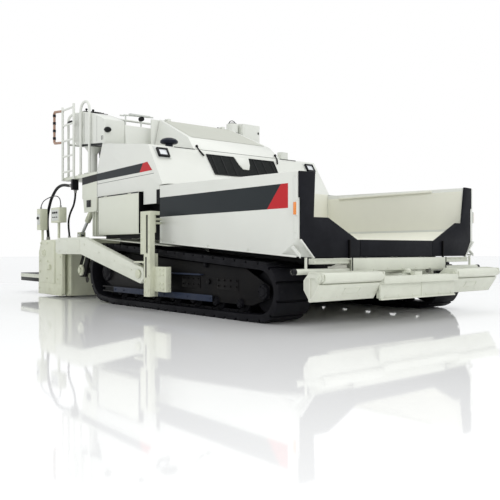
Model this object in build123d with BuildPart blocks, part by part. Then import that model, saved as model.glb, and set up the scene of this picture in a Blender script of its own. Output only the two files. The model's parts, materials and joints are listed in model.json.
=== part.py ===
from build123d import *

import math
import os

# Tracked asphalt paver: front hopper, remixing screws, rear spreading screws and an
# extending screed on two tow arms. Millimetres, +Z up, +X to the machine's left,
# the machine travels towards -Y. The origin is on the ground under the middle of the
# machine. A station is a distance behind the front plane of the hopper.

os.makedirs("parts", exist_ok=True)

# --- Overall layout -----------------------------------------------------------------
push_reach = 355            # front of the push rollers ahead of the hopper
walkway_end = 7050          # station of the walkway's rear edge
front_y = (push_reach - walkway_end) / 2

plate = 20                  # common plate thickness
pin_fit = 0.3               # radial clearance of a pin in its eye
seat_fit = 0.3              # air gap between pieces that rest side by side
swing_gap = 8               # air gap beside a moving piece

# --- Hopper -------------------------------------------------------------------------
hopper_half = 1470          # outer face of the side walls
hopper_wall = 200           # side wall width
hopper_length = 2460
hopper_top_front = 1480
hopper_top_rear = 1525
hopper_low_front = 660
hopper_low_rear = 816
bulkhead_station = 2250
slope_top = 960             # hopper floor where it meets the side walls
slope_foot = 800            # hopper floor where it meets the trough

# --- Main frame and trough ----------------------------------------------------------
frame_half = 940            # outer face of the frame plates
frame_plate = 40
frame_front = 160           # station
frame_rear = 4450           # station
frame_low = 300
trough_floor = 540          # upper face
tunnel_roof = 960           # lower face of the roof behind the bulkhead
frame_high = 1480           # top of the frame plates behind the hopper

# --- Tracks -------------------------------------------------------------------------
track_outer = hopper_half + 55
belt_width = 457
belt_depth = 75             # belt and shoe together
shoe_count = 47             # shoes on one track
shoe_gap, shoe_step = 28, 26    # notch between two shoes: its width and its depth
idler_station, idler_z, idler_r = 510, 310, 300
sprocket_station, sprocket_z, sprocket_r = 3850, 425, 400
ground_front, ground_rear, ground_r = 760, 3560, 170
roller_r = 95
roller_first, roller_pitch, roller_count = 880, 430, 7
carrier_r = 55

# --- Screws -------------------------------------------------------------------------
remix_r = 140
remix_shaft_r = 45
remix_pitch = 300
remix_turns = 13
remix_x = (-660, -220, 220, 660)
spread_r = 190
spread_shaft_r = 50
spread_start = 115          # where the flights begin, from the machine's middle
spread_turns = 4
spread_station = 4700
spread_z = 430
flight_thickness = 14
gearcase_half = 90

# --- Engine house -------------------------------------------------------------------
fascia_low = (2400, 1540)       # station, height of the fascia's lower edge
fascia_high = (2740, 2070)
deck_rear = (3980, 2230)
house_rear = 4150
lid_half_low, lid_half_high = 770, 650
lid_break = (2940, 2260)
lid_back = (3788, 2635)
lid_plate = 25
lid_pin = (3806, 2648)
lid_pin_r = 10
back_wall = (3815, 3835)        # stations of the wall that carries the lid's hinge
back_wall_half = 775
grille_half = 560
grille_low, grille_high = 241, 541      # measured up the fascia from its lower edge
lamp_x, lamp_up = hopper_half - 170, 500
lamp_width, lamp_height = 150, 120

# --- Operator's platform ------------------------------------------------------------
platform_top = 1850
platform_plate = 50
platform_rear = 5300
rail_r = 19

# --- Tow arms -----------------------------------------------------------------------
tow_pin = (2540, 440)       # station, height
tow_pin_r = 40
arm_inner = track_outer + 100
arm_outer = arm_inner + 90
fork_outer = arm_outer + 25

# --- Screed -------------------------------------------------------------------------
screed_front, screed_rear = 5020, 5600
screed_half = 1500
screed_low = 30
extension_front, extension_rear = 5640, 5930
extension_inner, extension_outer = 60, screed_half + 50
tube_r = 38
tube_z = 420
tube_stations = (5700, 5840)
end_gate_plate = 50
walkway_pin = (6025, 335)
walkway_half = screed_half - 20
walkway_hangers = (-walkway_half + 230, -250, 250, walkway_half - 230)
spread_end = screed_half - 65   # outer end of a spreading screw's shaft
spread_pitch = (spread_end - spread_start - 40) / spread_turns

# --- Push beam ----------------------------------------------------------------------
push_pivot = -150           # station
push_roller_station, push_roller_z, push_roller_r = -305, 474, 50
push_roller_inner, push_roller_outer = 640, hopper_half - 10


def at(station):
    """Y of a station."""
    return front_y + station


def block(x0, x1, s0, s1, z0, z1, mode=Mode.ADD):
    """Box between two X positions, two stations and two heights."""
    with Locations(((x0 + x1) / 2, at((s0 + s1) / 2), (z0 + z1) / 2)):
        Box(x1 - x0, s1 - s0, z1 - z0, mode=mode)


def round_x(x0, x1, station, z, radius, mode=Mode.ADD):
    """Cylinder along X."""
    with Locations(Location(((x0 + x1) / 2, at(station), z), (0, 90, 0))):
        Cylinder(radius, x1 - x0, mode=mode)


def round_y(s0, s1, x, z, radius, mode=Mode.ADD):
    """Cylinder along Y."""
    with Locations(Location((x, at((s0 + s1) / 2), z), (90, 0, 0))):
        Cylinder(radius, s1 - s0, mode=mode)


def round_z(z0, z1, x, station, radius, mode=Mode.ADD):
    """Cylinder along Z."""
    with Locations((x, at(station), (z0 + z1) / 2)):
        Cylinder(radius, z1 - z0, mode=mode)


def side_prism(outline, x0, x1, mode=Mode.ADD):
    """Prism along X from an outline of (station, height) points."""
    with BuildSketch(Plane.YZ.offset(x0)) as profile:
        with BuildLine():
            Polyline(*[(at(s), z) for s, z in outline], close=True)
        make_face()
    extrude(profile.sketch, amount=x1 - x0, mode=mode)


def cross_prism(outline, s0, s1, mode=Mode.ADD):
    """Prism along Y from an outline of (x, height) points."""
    with BuildSketch(Plane.XZ.offset(-at(s1))) as profile:
        with BuildLine():
            Polyline(*outline, close=True)
        make_face()
    extrude(profile.sketch, amount=s1 - s0, mode=mode)


def finish(piece, name):
    """Label a finished piece and write it."""
    piece.part.label = name
    export_step(piece.part, f"parts/{name}.step")


def beside(length, z_step, station, z, distance):
    """Point at a distance from a start along a direction given as a run and a rise."""
    scale = distance / math.hypot(length, z_step)
    return station + length * scale, z + z_step * scale


# ===================================================================================
# Tracks: each a closed belt of shoes round an idler, a sprocket and ground rollers
# ===================================================================================
belt_inner_x = track_outer - belt_width
belt_circles = (
    # station, height, radius of the belt's outer line
    (idler_station, idler_z, idler_r),
    (sprocket_station, sprocket_z, sprocket_r),
    (ground_front, ground_r, ground_r),
    (ground_rear, ground_r, ground_r),
)

for side, name in ((1, "track_left"), (-1, "track_right")):
    with BuildPart() as track:
        x_start = belt_inner_x if side > 0 else -track_outer
        with BuildSketch(Plane.YZ.offset(x_start)) as belt:
            for station, height, radius in belt_circles:
                with Locations((at(station), height)):
                    Circle(radius)
            make_hull()
            outline = belt.sketch_local.face().outer_wire()
            offset(amount=-belt_depth, kind=Kind.INTERSECTION, mode=Mode.SUBTRACT)
            for shoe in range(shoe_count):
                along = shoe / shoe_count
                spot = outline.position_at(along)
                with Locations(Location((spot.X, spot.Y, 0), (0, 0, outline.tangent_angle_at(along)))):
                    Rectangle(shoe_gap, 2 * shoe_step, mode=Mode.SUBTRACT)
        extrude(belt.sketch, amount=belt_width)
    finish(track, name)

web_inner, web_outer = 1150, 1450
web_plate = 20
web_outline = (
    (430, 250), (430, 370), (800, 540), (3350, 690), (3600, 600), (3980, 520),
    (3980, 330), (3500, 160), (700, 160),
)

with BuildPart() as frames:
    side_prism(web_outline, web_inner, web_inner + web_plate)
    side_prism(web_outline, web_outer - web_plate, web_outer)
    block(web_inner, web_outer, 1000, 3300, 290, 440)
    block(web_outer, web_outer + 55, 1500, 3900, 220, 240)
    block(web_outer, web_outer + 55, 1500, 3900, 160, 180)
    block(web_outer, web_outer + 15, 1500, 3900, 160, 240)
    mirror(about=Plane.YZ)
finish(frames, "track_frames")

with BuildPart() as rollers:
    inner = web_inner + web_plate
    outer = web_outer - web_plate
    for count in range(roller_count):
        station = roller_first + count * roller_pitch
        round_x(inner + 20, outer - 20, station, belt_depth + seat_fit + roller_r, roller_r)
        round_x(inner, outer, station, belt_depth + seat_fit + roller_r, 30)
    for station in (1500, 2750):
        run = sprocket_station - idler_station
        rise = sprocket_z + sprocket_r - idler_z - idler_r
        belt_z = idler_z + idler_r + rise * (station - idler_station) / run
        carrier_z = belt_z - belt_depth - carrier_r - 6
        round_x(inner + 40, outer - 40, station, carrier_z, carrier_r)
        round_x(inner, outer, station, carrier_z, 25)
    idler_wheel = idler_r - belt_depth - 1
    round_x(inner + 50, outer - 50, idler_station, idler_z, idler_wheel)
    round_x(inner, outer, idler_station, idler_z, 50)
    mirror(about=Plane.YZ)
finish(rollers, "track_rollers")

with BuildPart() as sprockets:
    round_x(inner + 80, outer - 80, sprocket_station, sprocket_z, sprocket_r - belt_depth - 1)
    round_x(inner, outer, sprocket_station, sprocket_z, 120)
    mirror(about=Plane.YZ)
finish(sprockets, "drive_sprockets")

# ===================================================================================
# Main frame: two long plates, cross beams, the trough between them, nose and lip
# ===================================================================================
inside = frame_half - frame_plate       # half width between the frame plates
throat = bulkhead_station + 40          # where the low front plates meet the high rear ones
lip_front = -80
lip_half = 800
lip_low, lip_high = 520, 650
shelf = 15
nose_low, nose_high = 410, 485
tie_r = 25                  # tie-down eyes through the frame plates
tie_front = (100, 380)      # station, height
tie_rear = (4370, 560)
ear_r = 60
push_pin_r = 30
beam_stations = (1250, 3050)
beam_width = 150
beam_low, beam_high = 320, 440

rear_plate_outline = (
    (throat + seat_fit, frame_low), (throat + seat_fit, frame_high),
    (frame_rear, frame_high), (frame_rear, frame_low + 150), (frame_rear - 250, frame_low),
)
with BuildPart() as chassis:
    block(inside, frame_half, frame_front, throat, frame_low, slope_foot - plate)
    side_prism(rear_plate_outline, inside, frame_half)
    block(inside, frame_half, tie_front[0] - 60, frame_front, tie_front[1] - 60, tie_front[1] + 60)
    for tie in (tie_front, tie_rear):
        round_x(inside, frame_half, *tie, tie_r, mode=Mode.SUBTRACT)
    for station in beam_stations:
        block(
            inside, frame_half, station - seat_fit, station + beam_width + seat_fit,
            beam_low - seat_fit, beam_high + seat_fit, mode=Mode.SUBTRACT,
        )
    mirror(about=Plane.YZ)
finish(chassis, "chassis")

with BuildPart() as cross_beams:
    half = web_inner - seat_fit
    for station in beam_stations:
        block(-half, half, station, station + beam_width, beam_low, beam_high)
finish(cross_beams, "cross_beams")

with BuildPart() as trough:
    half = inside - seat_fit
    roof = tunnel_roof + plate
    block(-half, half, frame_front, frame_rear, trough_floor - plate, trough_floor)
    block(-half, half, throat, frame_rear, tunnel_roof, roof)
    block(-half, half, frame_front, frame_front + plate, frame_low, trough_floor - plate - seat_fit)
    block(-half, half, frame_rear - plate, frame_rear, roof + seat_fit, frame_high)
finish(trough, "trough")

# Nose: a sill with the push tongue, the lip in front of the trough and its ledges
with BuildPart() as nose:
    sill_rear = frame_front - seat_fit
    block(-700, 700, 110, sill_rear, 440, lip_low)
    block(-250, 250, 20, sill_rear, frame_low + 80, lip_low)
    block(-80, 80, push_pivot, 20, nose_low, nose_high)
    round_z(nose_low, nose_high, 0, push_pivot, ear_r)
    round_z(nose_low, nose_high, 0, push_pivot, push_pin_r + pin_fit, mode=Mode.SUBTRACT)
    block(-lip_half, lip_half, lip_front, lip_front + shelf, lip_low, lip_high)
    block(-lip_half, lip_half, lip_front, frame_front + plate, lip_high - shelf, lip_high)
    for side in (-1, 1):
        block(side * 600 - 15, side * 600 + 15, 40, sill_rear, lip_low - 5, lip_high)
        ledge = sorted((side * lip_half, side * (hopper_half - 170)))
        block(*ledge, -40, 30, 594, lip_high)
        block(side * (lip_half - 5) - 7, side * (lip_half - 5) + 7, -50, -30, lip_high - shelf, 835)
finish(nose, "nose")

# Open-ended steel tube across the front, clipped under the hopper walls
tube_half = hopper_half + 90
cross_tube_z, cross_tube_r = 525, 28
with BuildPart() as cross_tube:
    round_x(-tube_half, tube_half, -15, cross_tube_z, cross_tube_r)
    round_x(-tube_half, tube_half, -15, cross_tube_z, cross_tube_r - 6, mode=Mode.SUBTRACT)
    for x in (-hopper_half + 90, -560, 560, hopper_half - 90):
        top = lip_high - shelf if abs(x) < lip_half else hopper_low_front + 1
        block(x - 10, x + 10, -25, -5, cross_tube_z + cross_tube_r - 2, top)
finish(cross_tube, "cross_tube")

# ===================================================================================
# Hopper: two box-section side walls, sloping floors, rear bulkhead, rubber aprons
# ===================================================================================
wall_outline = (
    (0, hopper_low_front), (0, hopper_top_front),
    (hopper_length, hopper_top_rear), (hopper_length, hopper_low_rear),
)
hopper_inner = hopper_half - hopper_wall

for side, name in ((1, "hopper_wall_left"), (-1, "hopper_wall_right")):
    with BuildPart() as wall:
        x_low = hopper_inner if side > 0 else -hopper_half
        side_prism(wall_outline, x_low, x_low + hopper_wall)
        corner = Plane(
            origin=(side * (hopper_half - 20), at(0), 830),
            x_dir=(0, 1, 0.1),
            z_dir=(side * 172, -120, -174),
        )
        split(bisect_by=corner, keep=Keep.BOTTOM)
    finish(wall, name)

floor_profile = (
    (inside, slope_foot - plate), (frame_half + 5, slope_foot - plate),
    (hopper_inner, slope_top - plate), (hopper_inner, slope_top), (inside, slope_foot),
)
gusset_outline = (
    (frame_half + seat_fit, slope_foot - plate), (frame_half + seat_fit, slope_foot - 100),
    (hopper_inner - seat_fit, slope_top - 80), (hopper_inner - seat_fit, slope_top - plate),
    (frame_half + 5, slope_foot - plate),
)
with BuildPart() as hopper_floor:
    cross_prism(floor_profile, frame_front, bulkhead_station)
    for station in (frame_front + 120, 1200, 2150):
        cross_prism(gusset_outline, station, station + plate)
    mirror(about=Plane.YZ)
finish(hopper_floor, "hopper_floor")

bulkhead_profile = (
    (-hopper_inner, slope_top), (-hopper_inner, fascia_low[1]), (hopper_inner, fascia_low[1]),
    (hopper_inner, slope_top), (inside, slope_foot), (inside, tunnel_roof),
    (-inside, tunnel_roof), (-inside, slope_foot),
)
with BuildPart() as bulkhead:
    cross_prism(bulkhead_profile, bulkhead_station, bulkhead_station + plate)
finish(bulkhead, "hopper_bulkhead")

apron_depth = 25
gate_half = 612
gate_top = 838
apron_step = 1230           # the outer edge steps in below this height
apron_edges = (
    # side, outer edge above and below the step, inner edge at its top and at its foot
    (-1, hopper_half - 2, hopper_half - 20, hopper_inner - 10, hopper_inner + 10),
    (1, hopper_half - 60, hopper_half - 80, hopper_inner - 5, hopper_inner - 70),
)
with BuildPart() as aprons:
    for side, outer_high, outer_low, inner_high, inner_low in apron_edges:
        edge = (
            (outer_high, 1480), (inner_high, 1485), (inner_low, 1050), (1080, 1050), (655, gate_top),
            (gate_half + swing_gap, gate_top), (gate_half + swing_gap, hopper_low_front),
            (hopper_inner + 6, hopper_low_front), (outer_low, 830), (outer_low, apron_step),
            (outer_high, apron_step),
        )
        cross_prism([(side * x, z) for x, z in edge], -apron_depth, 0)
finish(aprons, "hopper_aprons")

# Front gate: the middle of the apron, hinged on the shelf so that it tips rearward
gate_pin = (32, 672)
gate_pin_r = 8
with BuildPart() as front_gate:
    block(-gate_half, gate_half, -apron_depth, 0, 662, gate_top)
    for x in (-500, 0, 500):
        block(x - 25, x + 25, 0, gate_pin[0], gate_pin[1] - 11, gate_pin[1] + 11)
        round_x(x - 25, x + 25, gate_pin[0], gate_pin[1], 11)
        round_x(x - 25, x + 25, gate_pin[0], gate_pin[1], gate_pin_r + pin_fit, mode=Mode.SUBTRACT)
finish(front_gate, "front_gate")

with BuildPart() as gate_pins:
    for x in (-500, 0, 500):
        round_x(x - 45, x + 45, gate_pin[0], gate_pin[1], gate_pin_r)
        for edge in (x - 45, x + 27):
            block(edge, edge + 18, gate_pin[0] - 11, gate_pin[0] + 11, lip_high, gate_pin[1] + 11)
finish(gate_pins, "gate_hinges")

# ===================================================================================
# Remixing screws: four side by side in the trough
# ===================================================================================
remix_z = trough_floor + 15 + remix_r
remix_front = frame_front + 30
remix_rear = frame_rear - 30
bearing_bar = 40


def screw(x, station, z, shaft, radius, pitch, turns, hand, lengthwise=True):
    """Screw on a shaft, its flight made of flat half discs that lean to and fro.

    shaft is the shaft's (start, end, radius). The screw lies along Y at x, or along X
    when lengthwise is False. station is where its flight starts, or its own station.
    """
    lean = math.atan2(pitch / 2, 2 * radius) * hand
    start, end, shaft_radius = shaft
    if lengthwise:
        round_y(start, end, x, z, shaft_radius)
    else:
        round_x(start, end, station, z, shaft_radius)
    for phase, keep in ((0, 1), (1, -1)):
        tilt = lean if phase == 0 else -lean
        leaves = []
        for turn in range(turns):
            middle = pitch * (turn + phase / 2 + 0.25)
            if lengthwise:
                leaves.append(Plane(
                    origin=(x, at(station + middle), z),
                    x_dir=(math.cos(tilt), math.sin(tilt), 0),
                    z_dir=(math.sin(tilt), -math.cos(tilt), 0),
                ))
            else:
                leaves.append(Plane(
                    origin=(x + middle, at(station), z),
                    x_dir=(math.sin(tilt), math.cos(tilt), 0),
                    z_dir=(math.cos(tilt), -math.sin(tilt), 0),
                ))
        up = keep if leaves[0].y_dir.Z > 0 else -keep
        with BuildSketch(*leaves) as discs:
            Ellipse(radius / math.cos(tilt), radius)
            with Locations((0, up * radius)):
                Rectangle(4 * radius, 2 * radius, mode=Mode.INTERSECT)
        extrude(discs.sketch, amount=flight_thickness / 2, both=True)


for number, x in enumerate(remix_x, start=1):
    with BuildPart() as remix:
        screw(
            x, remix_front + bearing_bar + 40, remix_z, (remix_front, remix_rear, remix_shaft_r),
            remix_r, remix_pitch, remix_turns, 1 if number % 2 else -1,
        )
    finish(remix, f"remix_screw_{number}")

# Bearing bars that carry the remixing screws at both ends
with BuildPart() as remix_bearings:
    for start in (remix_front + 5, remix_rear - bearing_bar - 5):
        block(-inside, inside, start, start + bearing_bar, remix_z - 70, remix_z + 70)
    for x in remix_x:
        round_y(remix_front, remix_rear, x, remix_z, remix_shaft_r + pin_fit, mode=Mode.SUBTRACT)
finish(remix_bearings, "remix_bearings")

# ===================================================================================
# Engine house: sheet-metal shell behind the hopper with a sloping fascia and a lid
# ===================================================================================
house_half = hopper_half
house_low = frame_high
sheet = 20
fascia_run = fascia_high[0] - fascia_low[0]
fascia_rise = fascia_high[1] - fascia_low[1]
fascia_plane = Plane(
    origin=(0, at(fascia_low[0]), fascia_low[1]),
    x_dir=(1, 0, 0),
    z_dir=(0, -fascia_rise, fascia_run),
)
deck_slope = (deck_rear[1] - fascia_high[1]) / (deck_rear[0] - fascia_high[0])


def deck_z(station):
    """Height of the deck's upper face."""
    return fascia_high[1] + deck_slope * (station - fascia_high[0])


house_outer = (
    (bulkhead_station + plate, house_low), (bulkhead_station + plate, fascia_low[1]),
    fascia_low, fascia_high, deck_rear, (house_rear, platform_top), (house_rear, house_low),
)
house_inner = (
    (fascia_low[0] + 5, house_low + sheet), (fascia_low[0] + 20, fascia_low[1] - sheet + 15),
    (fascia_high[0] + 12, fascia_high[1] - sheet), (deck_rear[0] - 15, deck_rear[1] - sheet - 2),
    (house_rear - sheet, platform_top - 5), (house_rear - sheet, house_low + sheet),
)
with BuildPart() as house:
    side_prism(house_outer, -house_half, house_half)
    side_prism(house_inner, -house_half + sheet, house_half - sheet, mode=Mode.SUBTRACT)
    # Engine bay: open to the frame below and to the lid above
    block(-inside, inside, 2500, house_rear - 60, house_low - 1, house_low + sheet + 1, mode=Mode.SUBTRACT)
    block(-600, 600, fascia_high[0] + 40, back_wall[0] - 40, fascia_high[1] - 40, 2400, mode=Mode.SUBTRACT)
    # The hopper walls run back beside the lower fascia
    for side in (-1, 1):
        x0, x1 = sorted((side * (hopper_inner - 5), side * (hopper_half + 5)))
        block(x0, x1, bulkhead_station, hopper_length + 5, house_low - 5, hopper_top_rear + 8, mode=Mode.SUBTRACT)
        # Skirt plate that hangs below the house's side behind the hopper
        x0, x1 = sorted((side * (house_half - sheet), side * house_half))
        block(x0, x1, 2540, 2850, 1310, house_low + 1)
    # Wall that closes the lid's rear end and carries its hinge
    block(-back_wall_half, back_wall_half, *back_wall, deck_z(back_wall[0]) - 5, lid_pin[1] - 18)
    for x in (-500, 500):
        for edge in (x - 45, x + 27):
            block(edge, edge + 18, lid_pin[0] - 4, back_wall[1], lid_pin[1] - 40, lid_pin[1])
            round_x(edge, edge + 18, lid_pin[0], lid_pin[1], lid_pin_r + 3)
        round_x(x - 45, x + 45, lid_pin[0], lid_pin[1], lid_pin_r)
    # Air cleaner box on the left of the deck
    block(915, 1270, 3800, 3975, deck_z(3800) - 5, 2765)
    # Openings in the fascia for the grille and the two lamps
    with BuildSketch(fascia_plane) as fascia_cuts:
        with Locations((0, (grille_low + grille_high) / 2)):
            Rectangle(2 * grille_half, grille_high - grille_low)
        with Locations((-lamp_x, lamp_up), (lamp_x, lamp_up)):
            Rectangle(lamp_width, lamp_height)
    extrude(fascia_cuts.sketch, amount=60, both=True, mode=Mode.SUBTRACT)
finish(house, "engine_house")

# Grille: a frame with slats across the fascia's opening
with BuildPart() as grille:
    middle = (grille_low + grille_high) / 2
    height = grille_high - grille_low - 2 * seat_fit
    width = 2 * (grille_half - seat_fit)
    with BuildSketch(fascia_plane.offset(-18)) as grille_frame:
        with Locations((0, middle)):
            Rectangle(width, height)
            Rectangle(width - 40, height - 40, mode=Mode.SUBTRACT)
        with Locations((0, middle)):
            Rectangle(24, height)
        for slat in range(1, 10):
            with Locations((0, grille_low + 20 + slat * (height - 40) / 10)):
                Rectangle(width - 20, 11)
    extrude(grille_frame.sketch, amount=14)
finish(grille, "grille")

with BuildPart() as headlights:
    with BuildSketch(fascia_plane.offset(-26)) as lamp_body:
        with Locations((-lamp_x, lamp_up), (lamp_x, lamp_up)):
            Rectangle(lamp_width - 2 * seat_fit, lamp_height - 2 * seat_fit)
    extrude(lamp_body.sketch, amount=22)
finish(headlights, "headlights")

# Lid over the engine: a sloping front, a long rising top and raked cheeks
lid_foot = (fascia_high[0] + 6, deck_z(fascia_high[0]) + 6)
lid_outline = (
    lid_foot, (lid_foot[0], lid_foot[1] + 2), lid_break, lid_back,
    (lid_back[0], deck_z(lid_back[0]) + 6),
)
lid_hollow_outline = (
    (lid_foot[0] + 38, 1200), (lid_foot[0] + 38, lid_foot[1] + 2), (lid_break[0] + 15, lid_break[1] - 22),
    (lid_back[0] + 75, lid_back[1] + 8), (lid_back[0] + 75, 1200),
)


def lid_front(inset):
    """Front outline of the lid between its raked cheeks."""
    low, high = fascia_high[1] - 200, lid_back[1] + 50
    rake = (lid_half_low - lid_half_high) / (lid_back[1] - fascia_high[1])
    wide = lid_half_low + rake * 200 - inset
    narrow = lid_half_high - rake * 50 - inset
    return ((-wide, low), (wide, low), (narrow, high), (-narrow, high))


with BuildPart() as lid:
    side_prism(lid_outline, -900, 900)
    cross_prism(lid_front(0), 2600, 4000, mode=Mode.INTERSECT)
    with BuildPart(mode=Mode.PRIVATE) as lid_hollow:
        side_prism(lid_hollow_outline, -900, 900)
        cross_prism(lid_front(lid_plate), 2600, 4000, mode=Mode.INTERSECT)
    add(lid_hollow.part, mode=Mode.SUBTRACT)
    for x in (-500, 500):
        block(x - 24, x + 24, lid_back[0] - 30, lid_pin[0], lid_pin[1] - 30, lid_pin[1] + 12)
        round_x(x - 24, x + 24, lid_pin[0], lid_pin[1], 13)
        round_x(x - 24, x + 24, lid_pin[0], lid_pin[1], lid_pin_r + pin_fit, mode=Mode.SUBTRACT)
finish(lid, "engine_lid")

with BuildPart() as engine:
    block(-420, 420, 2820, 3720, tunnel_roof + plate, 2080)
finish(engine, "engine_block")

# Tanks that hang beside the frame over the tracks, each with a fender below it
fender_inner, fender_outer = 1010, 1520
fender_outline = ((2190, 775), (3960, 878), (3960, 886), (2190, 783))
with BuildPart() as tanks:
    block(frame_half, hopper_half + 30, 2920, 4050, tunnel_roof - 20, house_low)
    side_prism(fender_outline, fender_inner, fender_outer)
    side_prism(((2920, 820), (3960, 880), (3960, 941), (2920, 941)), fender_inner, fender_inner + 10)
    mirror(about=Plane.YZ)
finish(tanks, "side_tanks")

# Exhaust stack behind the lid: a guard tube round the pipe, cut to the house's back
exhaust_at = (815, 3948)        # x, station
guard_r, exhaust_r = 95, 68
stack_top = 2775
with BuildPart() as exhaust:
    round_z(1900, stack_top - 15, *exhaust_at, guard_r)
    round_z(1900, stack_top, *exhaust_at, exhaust_r)
    round_z(2300, stack_top + 1, *exhaust_at, exhaust_r - 6, mode=Mode.SUBTRACT)
    side_prism(
        ((3700, deck_z(3700)), deck_rear, (house_rear, platform_top), (3700, platform_top)),
        exhaust_at[0] - 120, exhaust_at[0] + 120, mode=Mode.SUBTRACT,
    )
finish(exhaust, "exhaust_stack")

# ===================================================================================
# Operator's platform with consoles, rails and ladder
# ===================================================================================
platform_under = platform_top - platform_plate
with BuildPart() as platform:
    block(-house_half, house_half, house_rear + 1, platform_rear, platform_under, platform_top)
    for side in (-1, 1):
        x0, x1 = sorted((side * (house_half - sheet), side * house_half))
        block(x0, x1, house_rear + 1, 4630, house_low, platform_top)
        side_prism(((house_rear + 1, 1480), (4600, 1480), (4560, 1280), (house_rear + 1, 1280)), x0, x1)
        x0, x1 = sorted((side * (inside - 1), side * frame_half))
        side_prism(
            ((house_rear + 1, house_low), (house_rear + 1, platform_top), (platform_rear - 60, platform_top),
             (platform_rear - 60, platform_under - 40), (frame_rear, house_low)), x0, x1,
        )
    block(-house_half, house_half, house_rear + 1, house_rear + 21, 1560, platform_top)
finish(platform, "operator_platform")

with BuildPart() as console:
    side_prism(
        ((back_wall[1], deck_z(back_wall[1])), (back_wall[1], 2560), (3950, 2640), (4240, 2500),
         (4300, 2380), (4210, platform_top), (house_rear + 1, platform_top), (deck_rear[0], deck_rear[1])),
        -560, 560,
    )
    # Wing towards the right-hand side console
    side_prism(
        (deck_rear, (4020, 2540), (4140, 2540), (4165, platform_top), (house_rear + 1, platform_top)),
        -1095, -560,
    )
finish(console, "instrument_console")

pod_outline = (
    (4020, 2245), (4020, 2585), (4250, 2680), (4440, 2740), (4740, 2810), (4960, 2800), (5000, 2770),
    (5000, 2400), (4930, 2318),
)
pod_inner, pod_outer = house_half - 370, house_half - 50
pod_station = 4685          # middle of its pedestal
pedestal_r, funnel_r = 57, 150
for side, name in ((1, "side_console_left"), (-1, "side_console_right")):
    with BuildPart() as pod:
        x_low = pod_inner if side > 0 else -pod_outer
        side_prism(pod_outline, x_low, x_low + pod_outer - pod_inner)
        middle = side * (pod_inner + pod_outer) / 2
        round_z(platform_top, 2310, middle, pod_station, pedestal_r)
        round_z(platform_top, platform_top + 30, middle, pod_station, 140)
        with Locations((middle, at(pod_station), 2235)):
            Cone(pedestal_r, funnel_r, 130)
    finish(pod, name)

seat_x, seat_station = 760, 4780
for side, name in ((1, "seat_left"), (-1, "seat_right")):
    with BuildPart() as seat:
        x = side * seat_x
        round_z(platform_top, platform_top + 330, x, seat_station, 60)
        block(x - 240, x + 240, seat_station - 240, seat_station + 240, platform_top + 320, platform_top + 440)
        side_prism(
            ((seat_station + 170, platform_top + 400), (seat_station + 250, platform_top + 960),
             (seat_station + 350, platform_top + 950), (seat_station + 270, platform_top + 380)),
            x - 230, x + 230,
        )
    finish(seat, name)

ladder_x = -(house_half + rail_r + 3)
ladder_stations = (4870, 5270)
rung_pitch, rung_count = 240, 5
with BuildPart() as ladder:
    for station in ladder_stations:
        round_z(platform_under, 2940, ladder_x, station, rail_r)
    for rung in range(rung_count):
        round_y(*ladder_stations, ladder_x, 1930 + rung * rung_pitch, rail_r - 4)
    for station in ladder_stations:
        block(ladder_x, -house_half, station - 12, station + 12, platform_under + 5, platform_top - 5)
finish(ladder, "ladder")


def hoop(plane, width, height, radius, tube):
    """Upright round-cornered hoop of tube in a plane whose local origin is one foot."""
    with BuildLine(plane) as path:
        FilletPolyline((0, 0), (0, height), (width, height), (width, 0), radius=radius)
    with BuildSketch(Plane(origin=path.line @ 0, z_dir=path.line % 0)) as ring:
        Circle(tube)
    sweep(ring.sketch, path=path.line)


with BuildPart() as rails:
    for side in (-1, 1):
        foot = Plane(origin=(side * (house_half - rail_r), at(4430), platform_top), x_dir=(0, 1, 0), z_dir=(1, 0, 0))
        hoop(foot, 290, 1070, 130, rail_r)
    # Rear guard rail across the back of the platform
    foot = Plane(origin=(-house_half + 60, at(platform_rear - 60), platform_top), x_dir=(1, 0, 0), z_dir=(0, -1, 0))
    hoop(foot, 2 * house_half - 120, 1020, 150, rail_r)
    round_x(-house_half + 60, house_half - 60, platform_rear - 60, platform_top + 520, rail_r - 2)
    for x in (-500, 500):
        round_z(platform_top, platform_top + 1020, x, platform_rear - 60, rail_r)
finish(rails, "guard_rails")

# ===================================================================================
# Tow points: on each side a front post, a channel for the grade cylinder and a pin
# ===================================================================================
post_x = (arm_inner + 36, fork_outer - 10)      # front post
guide_x = (arm_inner - 32, fork_outer - 10)     # lower guide block
flange = 20
channel = (2345, 2479)      # stations of the cylinder's channel
cylinder_station = 2440
arm_middle = (arm_inner + arm_outer) / 2
with BuildPart() as tow_posts:
    block(*post_x, 2260, 2310, 180, 1194)
    # Channel: outer plate, inner cheek and the cap over the cylinder
    block(post_x[1] - flange, post_x[1], *channel, 680, 1194)
    block(guide_x[0], guide_x[0] + flange, *channel, 940, 1194)
    block(*guide_x, 2260, channel[1], 1150, 1194)
    # Lower guide block with a slot through it, bolted to the front post
    block(*guide_x, 2300, 2400, 175, 690)
    block(guide_x[0] - 1, guide_x[1] + 1, 2335, 2365, 400, 650, mode=Mode.SUBTRACT)
    # Mounting plate and its front flange
    block(post_x[0] - flange, post_x[0], 2011, 2281, 240, 535)
    block(guide_x[0], post_x[0], 2011, 2011 + flange, 240, 535)
    # Tubes that hang the channel from the hopper wall
    for z in (1060, 1108):
        round_x(hopper_half, guide_x[0] + 5, cylinder_station, z, 15)
    # Inner plate, top flange, tow pin and its cap
    block(guide_x[0], arm_inner - 7, 2395, 2630, 350, 595)
    block(guide_x[0], fork_outer - 5, 2395, 2630, 575, 595)
    round_x(arm_inner - 8, arm_outer + 7, *tow_pin, tow_pin_r)
    round_x(arm_outer + 7, fork_outer, *tow_pin, tow_pin_r + 12)
    mirror(about=Plane.YZ)
finish(tow_posts, "tow_posts")

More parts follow.
